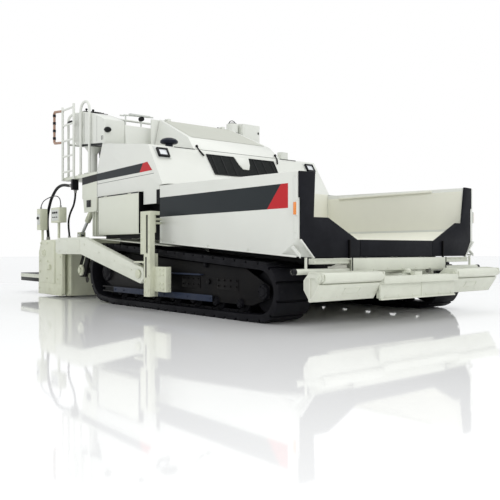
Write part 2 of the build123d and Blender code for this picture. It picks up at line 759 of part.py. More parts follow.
with BuildPart() as tow_cylinders:
    for side in (-1, 1):
        round_z(690, 1150 - seat_fit, side * arm_middle, cylinder_station, 37)
        round_z(595 + seat_fit, 700, side * arm_middle, cylinder_station, 18)
finish(tow_cylinders, "tow_cylinders")

# ===================================================================================
# Tow arms and main screed: one body, hinged on the tow pins
# ===================================================================================
arm_outline = (
    (2440, 505), (2500, 530), (2640, 552), (4100, 910), (4950, 910), (4950, 670), (4150, 670),
    (2514, 326), (2427, 383),
)
with BuildPart() as tow_arms:
    side_prism(arm_outline, arm_inner, arm_outer)
    round_x(arm_inner, arm_outer, *tow_pin, tow_pin_r + pin_fit, mode=Mode.SUBTRACT)
    block(screed_half - 60, arm_outer, 4930, screed_front - seat_fit, 690, 890)
    mirror(about=Plane.YZ)
finish(tow_arms, "tow_arms")

with BuildPart() as screed:
    # Heated base plate, front mouldboard, rear wall and the body's crossbeam
    block(-screed_half, screed_half, screed_front, screed_rear, screed_low, screed_low + 60)
    block(-screed_half, screed_half, screed_front, screed_front + plate, screed_low, 640)
    block(-screed_half, screed_half, screed_rear - plate, screed_rear, screed_low, 480)
    block(-screed_half, screed_half, screed_front, screed_front + 220, 640, 900)
    block(-screed_half, screed_half, screed_front, screed_rear, 300, 480)
    for x in (-screed_half + 15, -500, 500, screed_half - 15):
        block(x - 15, x + 15, screed_front, screed_rear, screed_low, 640)
    # Outboard bearings for the extensions' guide tubes
    for side in (-1, 1):
        x0, x1 = sorted((side * (screed_half - 200), side * (screed_half - 60)))
        block(x0, x1, screed_rear - 1, 5900, tube_z - 60, tube_z + 60)
        for station in tube_stations:
            round_x(x0, x1, station, tube_z, tube_r + pin_fit, mode=Mode.SUBTRACT)
    # Hangers that carry the walkway over the extensions
    for x in walkway_hangers:
        side_prism(
            ((screed_rear - 20, 470), (screed_rear - 20, 620), (5960, 620), (6012, 560), (6012, 315),
             (5945, 315), (5945, 500), (5700, 500)), x - 20, x + 20,
        )
        round_x(x - 45, x + 45, *walkway_pin, 12)
        block(x - 20, x + 20, 6000, walkway_pin[0], walkway_pin[1] - 12, walkway_pin[1] + 12)
finish(screed, "main_screed")

with BuildPart() as valve_block:
    block(-screed_half, -screed_half + 60, screed_rear, 5940, 500, 620)
    block(-screed_half, -screed_half + 60, 5800, 5940, 620, 880)
finish(valve_block, "screed_valve_block")

# Extensions behind the main screed: each a strike-off box on two guide tubes
for side, name in ((1, "screed_extension_left"), (-1, "screed_extension_right")):
    with BuildPart() as extension:
        low, high = sorted((side * extension_inner, side * extension_outer))
        block(low, high, extension_front, extension_rear, screed_low, 330)
        block(low, low + 30, extension_front, extension_rear, screed_low, 480)
        block(high - 30, high, extension_front, extension_rear, screed_low, 480)
        for station in tube_stations:
            round_x(low, high, station, tube_z, tube_r)
    finish(extension, name)

end_gate_outline = (
    (5040, screed_low + 40), (5040, 700), (5140, 890), (5850, 890), (5950, 700),
    (5950, screed_low), (5100, screed_low),
)
for side, name in ((1, "end_gate_left"), (-1, "end_gate_right")):
    with BuildPart() as end_gate:
        low, high = sorted((side * extension_outer, side * (extension_outer + end_gate_plate)))
        side_prism(end_gate_outline, low, high)
        low, high = sorted((side * (extension_outer + 10), side * (extension_outer + 40)))
        block(low, high, 5840, 5880, 880, 1060)
        block(low, high, 5200, 5240, 880, 1160)
        low, high = sorted((side * (extension_outer - 30), side * (extension_outer + 90)))
        block(low, high, 5790, 5930, 1050, 1390)
        block(low, high, 5060, 5370, 1150, 1380)
    finish(end_gate, name)

with BuildPart() as walkway:
    block(-walkway_half, walkway_half, 6040, walkway_end, 290, 330)
    block(-walkway_half, walkway_half, 6040, 6060, 200, 330)
    block(-walkway_half, walkway_half, walkway_end - 20, walkway_end, 200, 330)
    for x0, x1 in ((-walkway_half, -walkway_half + 20), (walkway_half - 20, walkway_half)):
        block(x0, x1, 6040, walkway_end, 200, 330)
    for x in walkway_hangers:
        for edge in (x - 44, x + 26):
            block(edge, edge + 18, walkway_pin[0], 6050, walkway_pin[1] - 22, walkway_pin[1] + 12)
            round_x(edge, edge + 18, *walkway_pin, 22)
            round_x(edge, edge + 18, *walkway_pin, 12 + pin_fit, mode=Mode.SUBTRACT)
finish(walkway, "walkway")

# ===================================================================================
# Lift cylinders between the frame's tail and the screed
# ===================================================================================
lift_x = screed_half - 240
lift_top = (4600, 1450)
lift_foot = (5090, 960)
lift_run = lift_foot[0] - lift_top[0]
lift_drop = lift_foot[1] - lift_top[1]
lift_length = math.hypot(lift_run, lift_drop)
barrel_length, barrel_r, lift_rod_r = 400, 45, 24
barrel_start = beside(lift_run, lift_drop, *lift_top, 80)
barrel_end = beside(lift_run, lift_drop, *lift_top, barrel_length)


def slanted(x, start, end, radius, mode=Mode.ADD):
    """Cylinder at x between two (station, height) points."""
    direction = (0, end[0] - start[0], end[1] - start[1])
    with BuildSketch(Plane(origin=(x, at(start[0]), start[1]), z_dir=direction)) as ring:
        Circle(radius)
    extrude(ring.sketch, amount=math.hypot(direction[1], direction[2]), mode=mode)


lift_pin_r = 20
with BuildPart() as lift_barrels:
    for x in (-lift_x, lift_x):
        slanted(x, lift_top, barrel_start, lift_rod_r)
        slanted(x, barrel_start, barrel_end, barrel_r)
        slanted(x, beside(lift_run, lift_drop, *lift_top, 90), barrel_end, lift_rod_r + pin_fit, mode=Mode.SUBTRACT)
        round_x(x - 25, x + 25, *lift_top, 50)
        round_x(x - 50, x + 50, *lift_top, lift_pin_r + pin_fit, mode=Mode.SUBTRACT)
finish(lift_barrels, "lift_barrels")

with BuildPart() as lift_rods:
    for x in (-lift_x, lift_x):
        slanted(x, beside(lift_run, lift_drop, *lift_top, 330), lift_foot, lift_rod_r)
        round_x(x - 25, x + 25, *lift_foot, 42)
        round_x(x - 48, x + 48, *lift_foot, lift_pin_r)
finish(lift_rods, "lift_rods")

# ===================================================================================
# Spreading screws behind the tracks, and the frame that carries them and the barrels
# ===================================================================================
beam_front, beam_rear = frame_rear, 4560
with BuildPart() as auger_frame:
    block(-gearcase_half, gearcase_half, 4560, 4840, 270, 700)
    block(-spread_end + 5, spread_end - 5, beam_front, beam_rear, 700, 800)
    block(-gearcase_half, gearcase_half, beam_front, 4700, 640, 700)
    for x0, x1 in ((-spread_end - 5, -spread_end + 25), (spread_end - 25, spread_end + 5)):
        side_prism(
            ((beam_front, 800), (beam_front, 640), (4600, 330), (4780, 330), (4780, 520), (4600, 800)), x0, x1,
        )
        round_x(x0, x1, spread_station, spread_z, spread_shaft_r + pin_fit, mode=Mode.SUBTRACT)
    for side in (-1, 1):
        low, high = sorted((side * (gearcase_half - 60), side * (gearcase_half + 1)))
        round_x(low, high, spread_station, spread_z, spread_shaft_r + pin_fit, mode=Mode.SUBTRACT)
        # Brackets that hold the lift barrels' pins out from the frame's tail
        x0, x1 = sorted((side * frame_half, side * (lift_x + 60)))
        block(x0, x1, frame_rear - 110, frame_rear, 1340, 1470)
        for edge in (lift_x - 27 - 18, lift_x + 27):
            x0, x1 = sorted((side * edge, side * (edge + 18)))
            block(x0, x1, frame_rear - 50, lift_top[0] + 40, lift_top[1] - 50, lift_top[1] + 25)
        low, high = sorted((side * (lift_x - 45), side * (lift_x + 45)))
        round_x(low, high, *lift_top, lift_pin_r)
finish(auger_frame, "rear_frame")

for side, name in ((1, "spreading_screw_left"), (-1, "spreading_screw_right")):
    with BuildPart() as spreader:
        low, high = sorted((side * (gearcase_half - 55), side * spread_end))
        start = spread_start if side > 0 else -spread_start - spread_pitch * spread_turns
        screw(
            start, spread_station, spread_z, (low, high, spread_shaft_r),
            spread_r, spread_pitch, spread_turns, side, lengthwise=False,
        )
    finish(spreader, name)

# Clevises for the lift rods on the screed's crossbeam, each with a slot for its pin
float_run, float_rise = 14, 9       # how far the pin may float, along and up
with BuildPart() as rod_clevises:
    for side in (-1, 1):
        for edge in (lift_x - 27 - 18, lift_x + 27):
            x0, x1 = sorted((side * edge, side * (edge + 18)))
            block(x0, x1, lift_foot[0] - 40, lift_foot[0] + 60, 900, lift_foot[1] + 45)
    middle = (at(lift_foot[0] + float_run / 2), lift_foot[1] + float_rise / 2)
    lean = math.degrees(math.atan2(float_rise, float_run))
    with BuildSketch(Plane.YZ.offset(-lift_x - 60)) as pin_slot:
        with Locations(Location((*middle, 0), (0, 0, lean))):
            SlotCenterToCenter(math.hypot(float_run, float_rise), 2 * lift_pin_r + 4)
    extrude(pin_slot.sketch, amount=2 * lift_x + 120, mode=Mode.SUBTRACT)
finish(rod_clevises, "rod_clevises")

# ===================================================================================
# Push beam and its two rollers
# ===================================================================================
beam_back = -230
carrier_back = (-195, -170)
bracket_half = hopper_half + 30
bracket_outline = (
    (-345, 520), (-345, 455), (-294, 424), (-200, 255), (-175, 255), (-97, 361), (-97, 450), (-180, 530),
)
guard_outline = ((-305, 412), (-290, 418), (-180, 262), (-180, 250), (-195, 250))
with BuildPart() as push_beam:
    block(-630, 630, -push_reach + 5, beam_back, 400, 470)
    block(-630, 630, -300, -280, 235, 401)
    for x in (-600, 0, 600):
        block(x - 8, x + 8, -300, beam_back, 250, 401)
    for side in (-1, 1):
        x0, x1 = sorted((side * 615, side * bracket_half))
        block(x0, x1, *carrier_back, 255, 530)
        side_prism(guard_outline, x0, x1)
        for x_plate in (615, push_roller_outer + 15):
            x0, x1 = sorted((side * x_plate, side * (x_plate + 15)))
            side_prism(bracket_outline, x0, x1)
        x0, x1 = sorted((side * 616, side * (push_roller_outer + 25)))
        round_x(x0, x1, push_roller_station, push_roller_z, 22)
    block(-630, 630, beam_back, carrier_back[1], 400, 470)
    block(-130, 130, beam_back - 1, carrier_back[1] + 5, nose_low - 30, nose_high + 30, mode=Mode.SUBTRACT)
    # Upper and lower ear with the pin that joins them to the tongue
    block(-ear_r, ear_r, -290, beam_back - 1, nose_low - 19, nose_high + 19)
    for z0, z1 in ((nose_high + 1, nose_high + 19), (nose_low - 19, nose_low - 1)):
        block(-ear_r, ear_r, beam_back - 10, push_pivot, z0, z1)
        round_z(z0, z1, 0, push_pivot, ear_r)
    round_z(nose_low - 19, nose_high + 19, 0, push_pivot, push_pin_r)
finish(push_beam, "push_beam")

for side, name in ((1, "push_roller_left"), (-1, "push_roller_right")):
    with BuildPart() as roller:
        x0, x1 = sorted((side * push_roller_inner, side * push_roller_outer))
        round_x(x0, x1, push_roller_station, push_roller_z, push_roller_r)
        round_x(x0, x1, push_roller_station, push_roller_z, 22 + pin_fit, mode=Mode.SUBTRACT)
    finish(roller, name)

# ===================================================================================
# Hoses and the control cable: each lies along hand-set points, its corners rounded
# ===================================================================================
hose_plate = (-house_half - 30, -house_half + 70)
with BuildPart() as hose_bracket:
    block(*hose_plate, 4900, 4950, 1640, platform_under)
finish(hose_bracket, "hose_bracket")


def cord(points, start_x, end_x, diameter, name):
    """Tube along a table of points with an arc at every corner.

    Each point is a sideways shift, a station and a height. The shift is counted from a
    line that goes from start_x at the first point to end_x at the last.
    """
    drift = (end_x - start_x) / (len(points) - 1)
    path_points = [
        Vector(start_x + drift * number + shift, at(station), z)
        for number, (shift, station, z) in enumerate(points)
    ]
    radii = []
    for before, corner, after in zip(path_points, path_points[1:], path_points[2:]):
        run_in, run_out = corner - before, after - corner
        half_turn = math.radians(run_in.get_angle(run_out)) / 2
        radii.append(0.45 * min(run_in.length, run_out.length) / math.tan(half_turn))
    with BuildPart() as tube:
        with BuildLine():
            route = FilletPolyline(*path_points, radius=radii)
        with BuildSketch(Plane(origin=route @ 0, z_dir=route % 0)) as ring:
            Circle(diameter / 2)
        sweep(ring.sketch, path=route)
    expected = math.pi * diameter**2 / 4 * route.length
    print(name, "length", round(route.length), "volume ratio", round(tube.part.volume / expected, 4))
    print("  smallest arc", round(min(radii)), "for diameter", diameter)
    finish(tube, name)


screed_hose = (
    # sideways shift, station, height
    (0, 4950, 1712), (0, 5080, 1712), (-2, 5220, 1736), (0, 5370, 1742), (-4, 5520, 1710),
    (0, 5650, 1640), (-4, 5760, 1540), (0, 5845, 1425), (-2, 5900, 1300),
    (0, 5918, 1170), (-2, 5900, 1060), (0, 5880, 970), (0, 5880, 880.3),
)
cord(screed_hose, -house_half, -screed_half + 30, 45, "screed_hose")

heater_hose = (
    # sideways shift, station, height
    (0, 4925, 1639.7), (0, 4925, 1560), (-2, 4945, 1480), (0, 4990, 1405), (-2, 5060, 1340),
    (0, 5125, 1275), (-2, 5165, 1195), (0, 5172, 1110), (-2, 5155, 1035), (0, 5140, 968),
    (0, 5140, 900.3),
)
cord(heater_hose, -house_half + 30, -screed_half + 60, 30, "heater_hose")

control_cable = (
    # sideways shift, station, height
    (0, 5095, 1380.3), (0, 5095, 1430), (-1, 5107, 1480), (0, 5140, 1522), (-1, 5195, 1548),
    (0, 5265, 1562), (-2, 5350, 1566), (0, 5450, 1560), (-2, 5560, 1548), (0, 5665, 1532),
    (-1, 5755, 1508), (0, 5820, 1470), (0, 5860, 1430), (0, 5860, 1390.3),
)
cord(control_cable, -extension_outer - 50, -extension_outer - 50, 14, "control_cable")
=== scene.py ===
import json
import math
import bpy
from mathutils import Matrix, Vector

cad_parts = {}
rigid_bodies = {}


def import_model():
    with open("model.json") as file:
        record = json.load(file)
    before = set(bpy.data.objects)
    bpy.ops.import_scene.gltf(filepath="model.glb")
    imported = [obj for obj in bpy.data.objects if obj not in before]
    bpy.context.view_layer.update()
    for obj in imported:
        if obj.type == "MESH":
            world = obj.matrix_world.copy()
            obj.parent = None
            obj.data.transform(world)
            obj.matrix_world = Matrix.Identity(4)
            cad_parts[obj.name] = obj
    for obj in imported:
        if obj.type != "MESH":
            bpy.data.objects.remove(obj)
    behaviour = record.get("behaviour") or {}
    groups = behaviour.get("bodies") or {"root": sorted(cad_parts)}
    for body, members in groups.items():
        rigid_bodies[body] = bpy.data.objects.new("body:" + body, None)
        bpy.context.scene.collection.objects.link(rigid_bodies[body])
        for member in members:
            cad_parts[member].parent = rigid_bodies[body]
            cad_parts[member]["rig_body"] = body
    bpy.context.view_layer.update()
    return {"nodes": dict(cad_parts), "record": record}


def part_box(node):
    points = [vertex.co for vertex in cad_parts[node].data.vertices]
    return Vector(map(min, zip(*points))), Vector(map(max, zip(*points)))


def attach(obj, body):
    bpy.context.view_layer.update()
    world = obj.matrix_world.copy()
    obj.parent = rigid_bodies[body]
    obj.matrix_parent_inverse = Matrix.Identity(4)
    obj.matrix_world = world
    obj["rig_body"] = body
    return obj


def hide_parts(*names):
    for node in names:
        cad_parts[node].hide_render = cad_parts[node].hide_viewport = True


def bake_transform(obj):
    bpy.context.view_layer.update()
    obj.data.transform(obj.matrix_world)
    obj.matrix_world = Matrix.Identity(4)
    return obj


bl_info = {
    "name": "Asphalt Paver Dressing",
    "version": (1, 0, 0),
    "blender": (4, 5, 0),
    "location": "View3D > Sidebar > Paver",
    "description": "Finishes and fittings for a tracked asphalt paver built in CAD",
    "category": "Object",
}

import bmesh
import bpy
from mathutils import Matrix, Vector

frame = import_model()

# Planes of the machine, read from the frame. A station is a distance in metres behind
# the hopper's front plane, and +X is the machine's left.
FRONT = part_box("hopper_wall_left")[0].y
HOPPER_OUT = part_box("hopper_wall_left")[1].x
HOPPER_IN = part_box("hopper_wall_left")[0].x
PLATFORM_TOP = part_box("operator_platform")[1].z
SIDES = (("left", 1), ("right", -1))
SLOTS = {row["node"]: row["material_slot"] for row in frame["record"]["subparts"]}

GATE_OUT = 1.600        # outer faces, off the middle: end gate, tank, tow post, arm, track web
TANK_OUT = 1.500
POST_OUT = 1.730
ARM_OUT = 1.715
WEB_OUT = 1.449
ROLLER = (-0.305, 0.474)        # axes seen from the side: (station, height)
SPROCKET = (3.850, 0.425)
SPREADER = (4.700, 0.430)
CROSS_TUBE = (-0.015, 0.525)
SMOOTH_BELOW = math.radians(35)
LEFT, AHEAD, UP = (1, 0, 0), (0, -1, 0), (0, 0, 1)


# ------------------------------------------------------------------ shader expressions
class Wire:
    """An output socket that can be written in sums: each operator adds a Math node."""

    def __init__(self, finish, socket):
        self.finish = finish
        self.socket = socket

    def _math(self, operation, *values, clamp=False):
        settings = {"operation": operation, "use_clamp": clamp}
        return self.finish.node("ShaderNodeMath", settings, dict(enumerate(values)))[0]

    def __add__(self, other):
        return self._math("ADD", self, other)

    def __sub__(self, other):
        return self._math("SUBTRACT", self, other)

    def __rsub__(self, other):
        return self._math("SUBTRACT", other, self)

    def __mul__(self, other):
        return self._math("MULTIPLY", self, other)

    def __abs__(self):
        return self._math("ABSOLUTE", self)

    def above(self, level, soft):
        """0 below level - soft, 1 above level + soft, and a straight ramp between."""
        return self._math("MULTIPLY_ADD", self, 0.5 / soft, 0.5 - level * 0.5 / soft, clamp=True)

    def fraction(self):
        """The part after the decimal point."""
        return self._math("FRACT", self)

    def sine(self):
        """Sine of the value."""
        return self._math("SINE", self)


class Finish:
    """A material with one Principled shader and a method that adds any other node."""

    def __init__(self, name):
        self.material = bpy.data.materials.new(name)
        self.material.use_nodes = True
        self.tree = self.material.node_tree
        self.shader = self.tree.nodes["Principled BSDF"]

    def node(self, kind, settings=None, inputs=None):
        """Add a node: its settings first, then the values or wires of its sockets."""
        made = self.tree.nodes.new(kind)
        for key, value in (settings or {}).items():
            setattr(made, key, value)
        for key, value in (inputs or {}).items():
            self.plug(made.inputs[key], value)
        return [Wire(self, out) for out in made.outputs]

    def plug(self, socket, value):
        """Give a socket a wire, a colour or a number."""
        if isinstance(value, Wire):
            self.tree.links.new(value.socket, socket)
        elif isinstance(value, (tuple, list)) and socket.type == "RGBA" and len(value) == 3:
            socket.default_value = (*value, 1)
        else:
            socket.default_value = value

    def set(self, **inputs):
        """Set sockets of the Principled shader, spaces written as underscores."""
        for key, value in inputs.items():
            self.plug(self.shader.inputs[key.replace("_", " ")], value)

    def place(self, scale):
        """Object coordinates, stretched by a scale."""
        coordinates = self.node("ShaderNodeTexCoord")[3]
        return self.node("ShaderNodeMapping", None, {"Vector": coordinates, "Scale": scale})[0]

    def axes(self):
        """Object coordinates as three wires."""
        coordinates = self.node("ShaderNodeTexCoord")[3]
        return self.node("ShaderNodeSeparateXYZ", None, {0: coordinates})

    def noise(self, scale, detail=3, rough=0.55, stretch=(1, 1, 1)):
        """Noise from 0 to 1."""
        where = self.place(stretch)
        return self.node(
            "ShaderNodeTexNoise", None,
            {"Vector": where, "Scale": scale, "Detail": detail, "Roughness": rough},
        )[0]

    def blend(self, factor, first, second):
        """Colour that goes from first to second."""
        return self.node(
            "ShaderNodeMix", {"data_type": "RGBA"}, {0: factor, 6: first, 7: second},
        )[2]

    def bump(self, height, strength, distance):
        """Normal from a height."""
        return self.node(
            "ShaderNodeBump", None, {"Height": height, "Strength": strength, "Distance": distance},
        )[0]


def srgb(red, green, blue):
    """Linear colour from the 0 to 255 values of a paint card."""
    def linear(value):
        value /= 255
        return value / 12.92 if value <= 0.04045 else ((value + 0.055) / 1.055) ** 2.4

    return tuple(linear(value) for value in (red, green, blue))


def paint(name, colour, rough=0.36, grime=0.10, grime_top=0.9, coat=0.25, shine=0.45):
    """Sprayed enamel: a little orange peel, slow mottling and road dust low down."""
    finish = Finish(name)
    height = finish.axes()[2]
    mottle = finish.noise(1.3, 4)
    dust_patches = finish.noise(5.0, 6, 0.62).above(0.52, 0.16)
    low_down = 1 - height.above(grime_top * 0.5, grime_top * 0.5)
    dust = dust_patches * low_down * grime + dust_patches * (grime * 0.12)
    darker = tuple(channel * 0.93 for channel in colour)
    base = finish.blend(mottle.above(0.5, 0.35), darker, colour)
    dusty = finish.blend(dust, base, srgb(122, 112, 98))
    finish.set(
        Base_Color=dusty,
        Roughness=finish.noise(26, 3) * 0.10 + dust * 0.5 + (rough - 0.05),
        Normal=finish.bump(finish.noise(420, 2), 0.06, 0.0006),
        Specular_IOR_Level=shine,
        Coat_Weight=coat,
        Coat_Roughness=0.12,
    )
    return finish.material


def uncoated(name, colour, **settings):
    """Enamel without its clear coat."""
    return paint(name, colour, coat=0, **settings)


def rubber(name, colour, rough=0.62, grain=160, shine=0.2):
    """Moulded or sheet rubber with a fine grain and a greyish bloom."""
    finish = Finish(name)
    bloom = finish.noise(7, 5, 0.6).above(0.58, 0.2)
    lighter = tuple(channel * 1.7 + 0.004 for channel in colour)
    finish.set(
        Base_Color=finish.blend(bloom * 0.55, colour, lighter),
        Specular_IOR_Level=shine,
        Roughness=finish.noise(30, 3) * 0.16 + (rough - 0.08),
        Normal=finish.bump(finish.noise(grain, 3), 0.16, 0.0012),
    )
    return finish.material


def steel(name, colour, rough=0.38, metal=1.0, stain=0.35, shine=0.5):
    """Bare or oiled steel with a brushed sheen and darker stains."""
    finish = Finish(name)
    stains = finish.noise(6, 6, 0.65).above(0.56, 0.14)
    brushed = finish.noise(90, 2, 0.5, (0.12, 1, 1))
    dark = tuple(channel * 0.45 for channel in colour)
    finish.set(
        Base_Color=finish.blend(stains * stain, colour, dark),
        Metallic=metal,
        Specular_IOR_Level=shine,
        Roughness=brushed * 0.14 + stains * 0.16 + (rough - 0.07),
        Normal=finish.bump(brushed, 0.10, 0.0006),
    )
    return finish.material


def glass(name, colour, rough=0.08, glow=0.0):
    """Moulded lens: a prismatic pattern under a glossy face."""
    finish = Finish(name)
    ribs = (finish.axes()[2] * 520).sine() * 0.5 + 0.5
    finish.set(
        Base_Color=finish.blend(ribs * 0.35, colour, tuple(channel * 0.6 for channel in colour)),
        Roughness=rough,
        Normal=finish.bump(ribs, 0.25, 0.001),
        Coat_Weight=0.9,
        Coat_Roughness=0.03,
        Emission_Color=colour,
        Emission_Strength=glow,
    )
    return finish.material


def tread_steel(name, bare, worn_bare):
    """Dark sheet with raised lozenges."""
    finish = Finish(name)
    x, y, _ = finish.axes()
    studs = ((x + y) * 105).sine() * ((x - y) * 105).sine()
    raised = studs.above(0.35, 0.2)
    worn = finish.noise(8, 5, 0.6).above(0.55, 0.2) * raised
    finish.set(
        Base_Color=finish.blend(worn, bare, worn_bare),
        Metallic=worn * 0.7,
        Roughness=finish.noise(30, 3) * 0.2 + 0.42,
        Normal=finish.bump(raised, 0.5, 0.002),
    )
    return finish.material


def grille_mesh(name, dark, light):
    """Black perforated sheet: rows of small holes, every other row shifted."""
    finish = Finish(name)
    x, _, z = finish.axes()
    pitch = 1 / 0.022
    across = abs((x * pitch).fraction() - 0.5)
    up = abs((z * pitch * 1.25).fraction() - 0.5)
    hole = 1 - (across * across + up * up).above(0.10, 0.03)
    mottle = finish.noise(12, 3)
    finish.set(
        Base_Color=finish.blend(hole, finish.blend(mottle, dark, light), srgb(5, 6, 6)),
        Specular_IOR_Level=0.12,
        Roughness=mottle * 0.2 + hole * 0.3 + 0.38,
        Normal=finish.bump(1 - hole, 0.5, 0.003),
    )
    return finish.material


# Each finish: its maker, its colour, then whatever differs from the maker's defaults
RECIPES = {
    "body_paint": (paint, (225, 227, 220), {}),
    "frame_paint": (paint, (219, 222, 208), {"rough": 0.42, "grime": 0.16, "coat": 0.12}),
    "screed_paint": (paint, (209, 212, 190), {"rough": 0.42, "grime": 0.16, "coat": 0.1}),
    "hopper_paint": (paint, (238, 238, 224), {"rough": 0.45, "grime_top": 1.3, "coat": 0.05}),
    "grey_paint": (paint, (206, 209, 204), {"rough": 0.42, "grime": 0.08, "coat": 0.1}),
    "engine_grey": (paint, (104, 108, 110), {"rough": 0.45, "grime": 0.3, "coat": 0.05}),
    "primer_brown": (paint, (163, 128, 108), {"rough": 0.5}),
    "black_paint": (uncoated, (21, 22, 25), {"rough": 0.42, "grime": 0.06, "shine": 0.18}),
    "frame_black": (uncoated, (12, 12, 14), {"rough": 0.5, "grime": 0.03, "shine": 0.1}),
    "charcoal_paint": (uncoated, (38, 44, 47), {"rough": 0.34, "grime": 0.04, "shine": 0.15}),
    "red_paint": (uncoated, (192, 28, 36), {"rough": 0.32, "grime": 0.02, "shine": 0.25}),
    # Darker grey for the lid's top panel: painted shade on its upward slope
    "lid_shade_grey": (uncoated, (192, 194, 183), {"rough": 0.5, "grime": 0.05, "shine": 0.3}),
    "guard_grey": (uncoated, (38, 47, 66), {"rough": 0.5, "grime": 0.08, "shine": 0.15}),
    "seam_grey": (uncoated, (92, 94, 92), {"rough": 0.6, "shine": 0.2}),
    "cap_blue_black": (uncoated, (24, 29, 42), {"rough": 0.4, "grime": 0.02, "shine": 0.15}),
    "track_steel": (steel, (15, 15, 20), {"rough": 0.55, "metal": 0, "stain": 0.5, "shine": 0.12}),
    "worn_steel": (steel, (150, 150, 146), {"rough": 0.40}),
    # Dark steel of the screw flights: painted shade for the dark under the machine
    "shaded_screw_steel": (steel, (62, 61, 60), {"rough": 0.5, "metal": 0.6}),
    "chrome_plate": (steel, (205, 207, 210), {"rough": 0.16, "stain": 0.08}),
    "apron_rubber": (rubber, (20, 21, 26), {"rough": 0.55, "grain": 120, "shine": 0.12}),
    "seat_vinyl": (rubber, (28, 29, 32), {"rough": 0.5, "grain": 260, "shine": 0.25}),
    "hose_rubber": (rubber, (22, 23, 25), {"rough": 0.5, "grain": 240}),
    "knob_plastic": (rubber, (24, 25, 27), {"rough": 0.4}),
    "clear_lens": (glass, (228, 232, 235), {}),
    "amber_lens": (glass, (232, 132, 28), {"rough": 0.12, "glow": 0.05}),
    "dial_glass": (glass, (58, 72, 66), {}),
    "tread_steel": (tread_steel, (44, 45, 48), {"worn_bare": srgb(128, 129, 130)}),
    "grille_mesh": (grille_mesh, (16, 21, 20), {"light": srgb(24, 29, 28)}),
}
FINISHES = {}


def finish_named(name):
    """Material of a recipe, made the first time it is asked for."""
    if name not in FINISHES:
        maker, card, settings = RECIPES[name]
        FINISHES[name] = maker(name, srgb(*card), **settings)
    return FINISHES[name]


# ------------------------------------------------------------------ shapes
def cube(bm, *sides):
    """Box between three (low, high) pairs: across, along the stations and in height."""
    size = [high - low for low, high in sides]
    middle = [(low + high) / 2 for low, high in sides]
    place = Matrix.Translation(middle) @ Matrix.Diagonal((*size, 1))
    bmesh.ops.create_cube(bm, size=1, matrix=place)


def rod(bm, start, end, radius, tip=None, segments=24):
    """Round bar or cone between two points."""
    start, end = Vector(start), Vector(end)
    along = end - start
    turn = along.to_track_quat("Z", "Y").to_matrix().to_4x4()
    place = Matrix.Translation((start + end) / 2) @ turn
    bmesh.ops.create_cone(
        bm, cap_ends=True, cap_tris=False, segments=segments, radius1=radius,
        radius2=radius if tip is None else tip, depth=along.length, matrix=place,
    )


def spun(bm, outline, centre, axis, steps, closed=True):
    """Turn an outline of points once about an axis."""
    verts = [bm.verts.new(point) for point in outline]
    ahead = verts[1:] + verts[:1] if closed else verts[1:]
    edges = [bm.edges.new(pair) for pair in zip(verts, ahead)]
    bmesh.ops.spin(
        bm, geom=[*verts, *edges], cent=centre, axis=axis, angle=math.tau, steps=steps,
        use_merge=True,
    )


def tube(bm, start, end, outer, inner, segments=32):
    """Open pipe between two points, made by spinning its wall's outline."""
    start, end = Vector(start), Vector(end)
    along = (end - start).normalized()
    side = along.orthogonal().normalized()
    wall = [start + side * inner, start + side * outer, end + side * outer, end + side * inner]
    spun(bm, wall, start, along, segments)


def plate(bm, outline, push):
    """Flat plate: an outline of points pushed along a vector."""
    face = bm.faces.new([bm.verts.new(point) for point in outline])
    grown = bmesh.ops.extrude_face_region(bm, geom=[face])
    moved = [item for item in grown["geom"] if isinstance(item, bmesh.types.BMVert)]
    bmesh.ops.translate(bm, verts=moved, vec=Vector(push))


def side_plate(bm, x, outline, thick):
    """Plate that stands along the machine, from (station, height) points."""
    plate(bm, [(x, station, z) for station, z in outline], (thick, 0, 0))


def oblong(across, up):
    """Outline of a rectangle from its (low, high) pair along each axis."""
    (left, right), (low, high) = across, up
    return ((left, low), (right, low), (right, high), (left, high))


def rim_bars(across, up, thick):
    """Outlines of the four bars round a rectangle."""
    (left, right), (low, high) = across, up
    return (
        oblong(across, (low, low + thick)), oblong(across, (high - thick, high)),
        oblong((left, left + thick), up), oblong((right - thick, right), up),
    )


def ball(bm, centre, radii, segments, rings):
    """Ball about a centre, from its radii along the three axes."""
    place = Matrix.Translation(centre) @ Matrix.Diagonal((*radii, 1))
    bmesh.ops.create_uvsphere(bm, u_segments=segments, v_segments=rings, radius=1, matrix=place)


def soften(bm, width, segments=2, angle=30):
    """Bevel every edge that turns by more than an angle, in degrees."""
    limit = math.radians(angle)
    sharp = [edge for edge in bm.edges if edge.is_manifold and edge.calc_face_angle(0) > limit]
    bmesh.ops.bevel(
        bm, geom=sharp, offset=width, offset_type="OFFSET", affect="EDGES", segments=segments,
        profile=0.5, material=-1, clamp_overlap=True,
    )


def mirrored(bm):
    """Add the other half, mirrored across the machine's middle plane."""
    copies = bmesh.ops.duplicate(bm, geom=[*bm.verts, *bm.edges, *bm.faces])["geom"]
    verts = [item for item in copies if isinstance(item, bmesh.types.BMVert)]
    faces = [item for item in copies if isinstance(item, bmesh.types.BMFace)]
    bmesh.ops.scale(bm, vec=(-1, 1, 1), verts=verts)
    bmesh.ops.reverse_faces(bm, faces=faces)


def piece(bm, name, finish, body="tractor", replaces=(), shift=FRONT):
    """Turn shapes drawn in stations into an object that rides on a body, or on none yet."""
    bmesh.ops.translate(bm, verts=bm.verts, vec=(0, shift, 0))
    bmesh.ops.recalc_face_normals(bm, faces=bm.faces)
    mesh = bpy.data.meshes.new(name)
    bm.to_mesh(mesh)
    bm.free()
    for face in mesh.polygons:
        face.use_smooth = True
    mesh.set_sharp_from_angle(angle=SMOOTH_BELOW)
    mesh.materials.append(finish_named(finish))
    made = bpy.data.objects.new(name, mesh)
    bpy.context.scene.collection.objects.link(made)
    if body:
        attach(made, body)
    if replaces:
        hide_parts(*replaces)
    return made


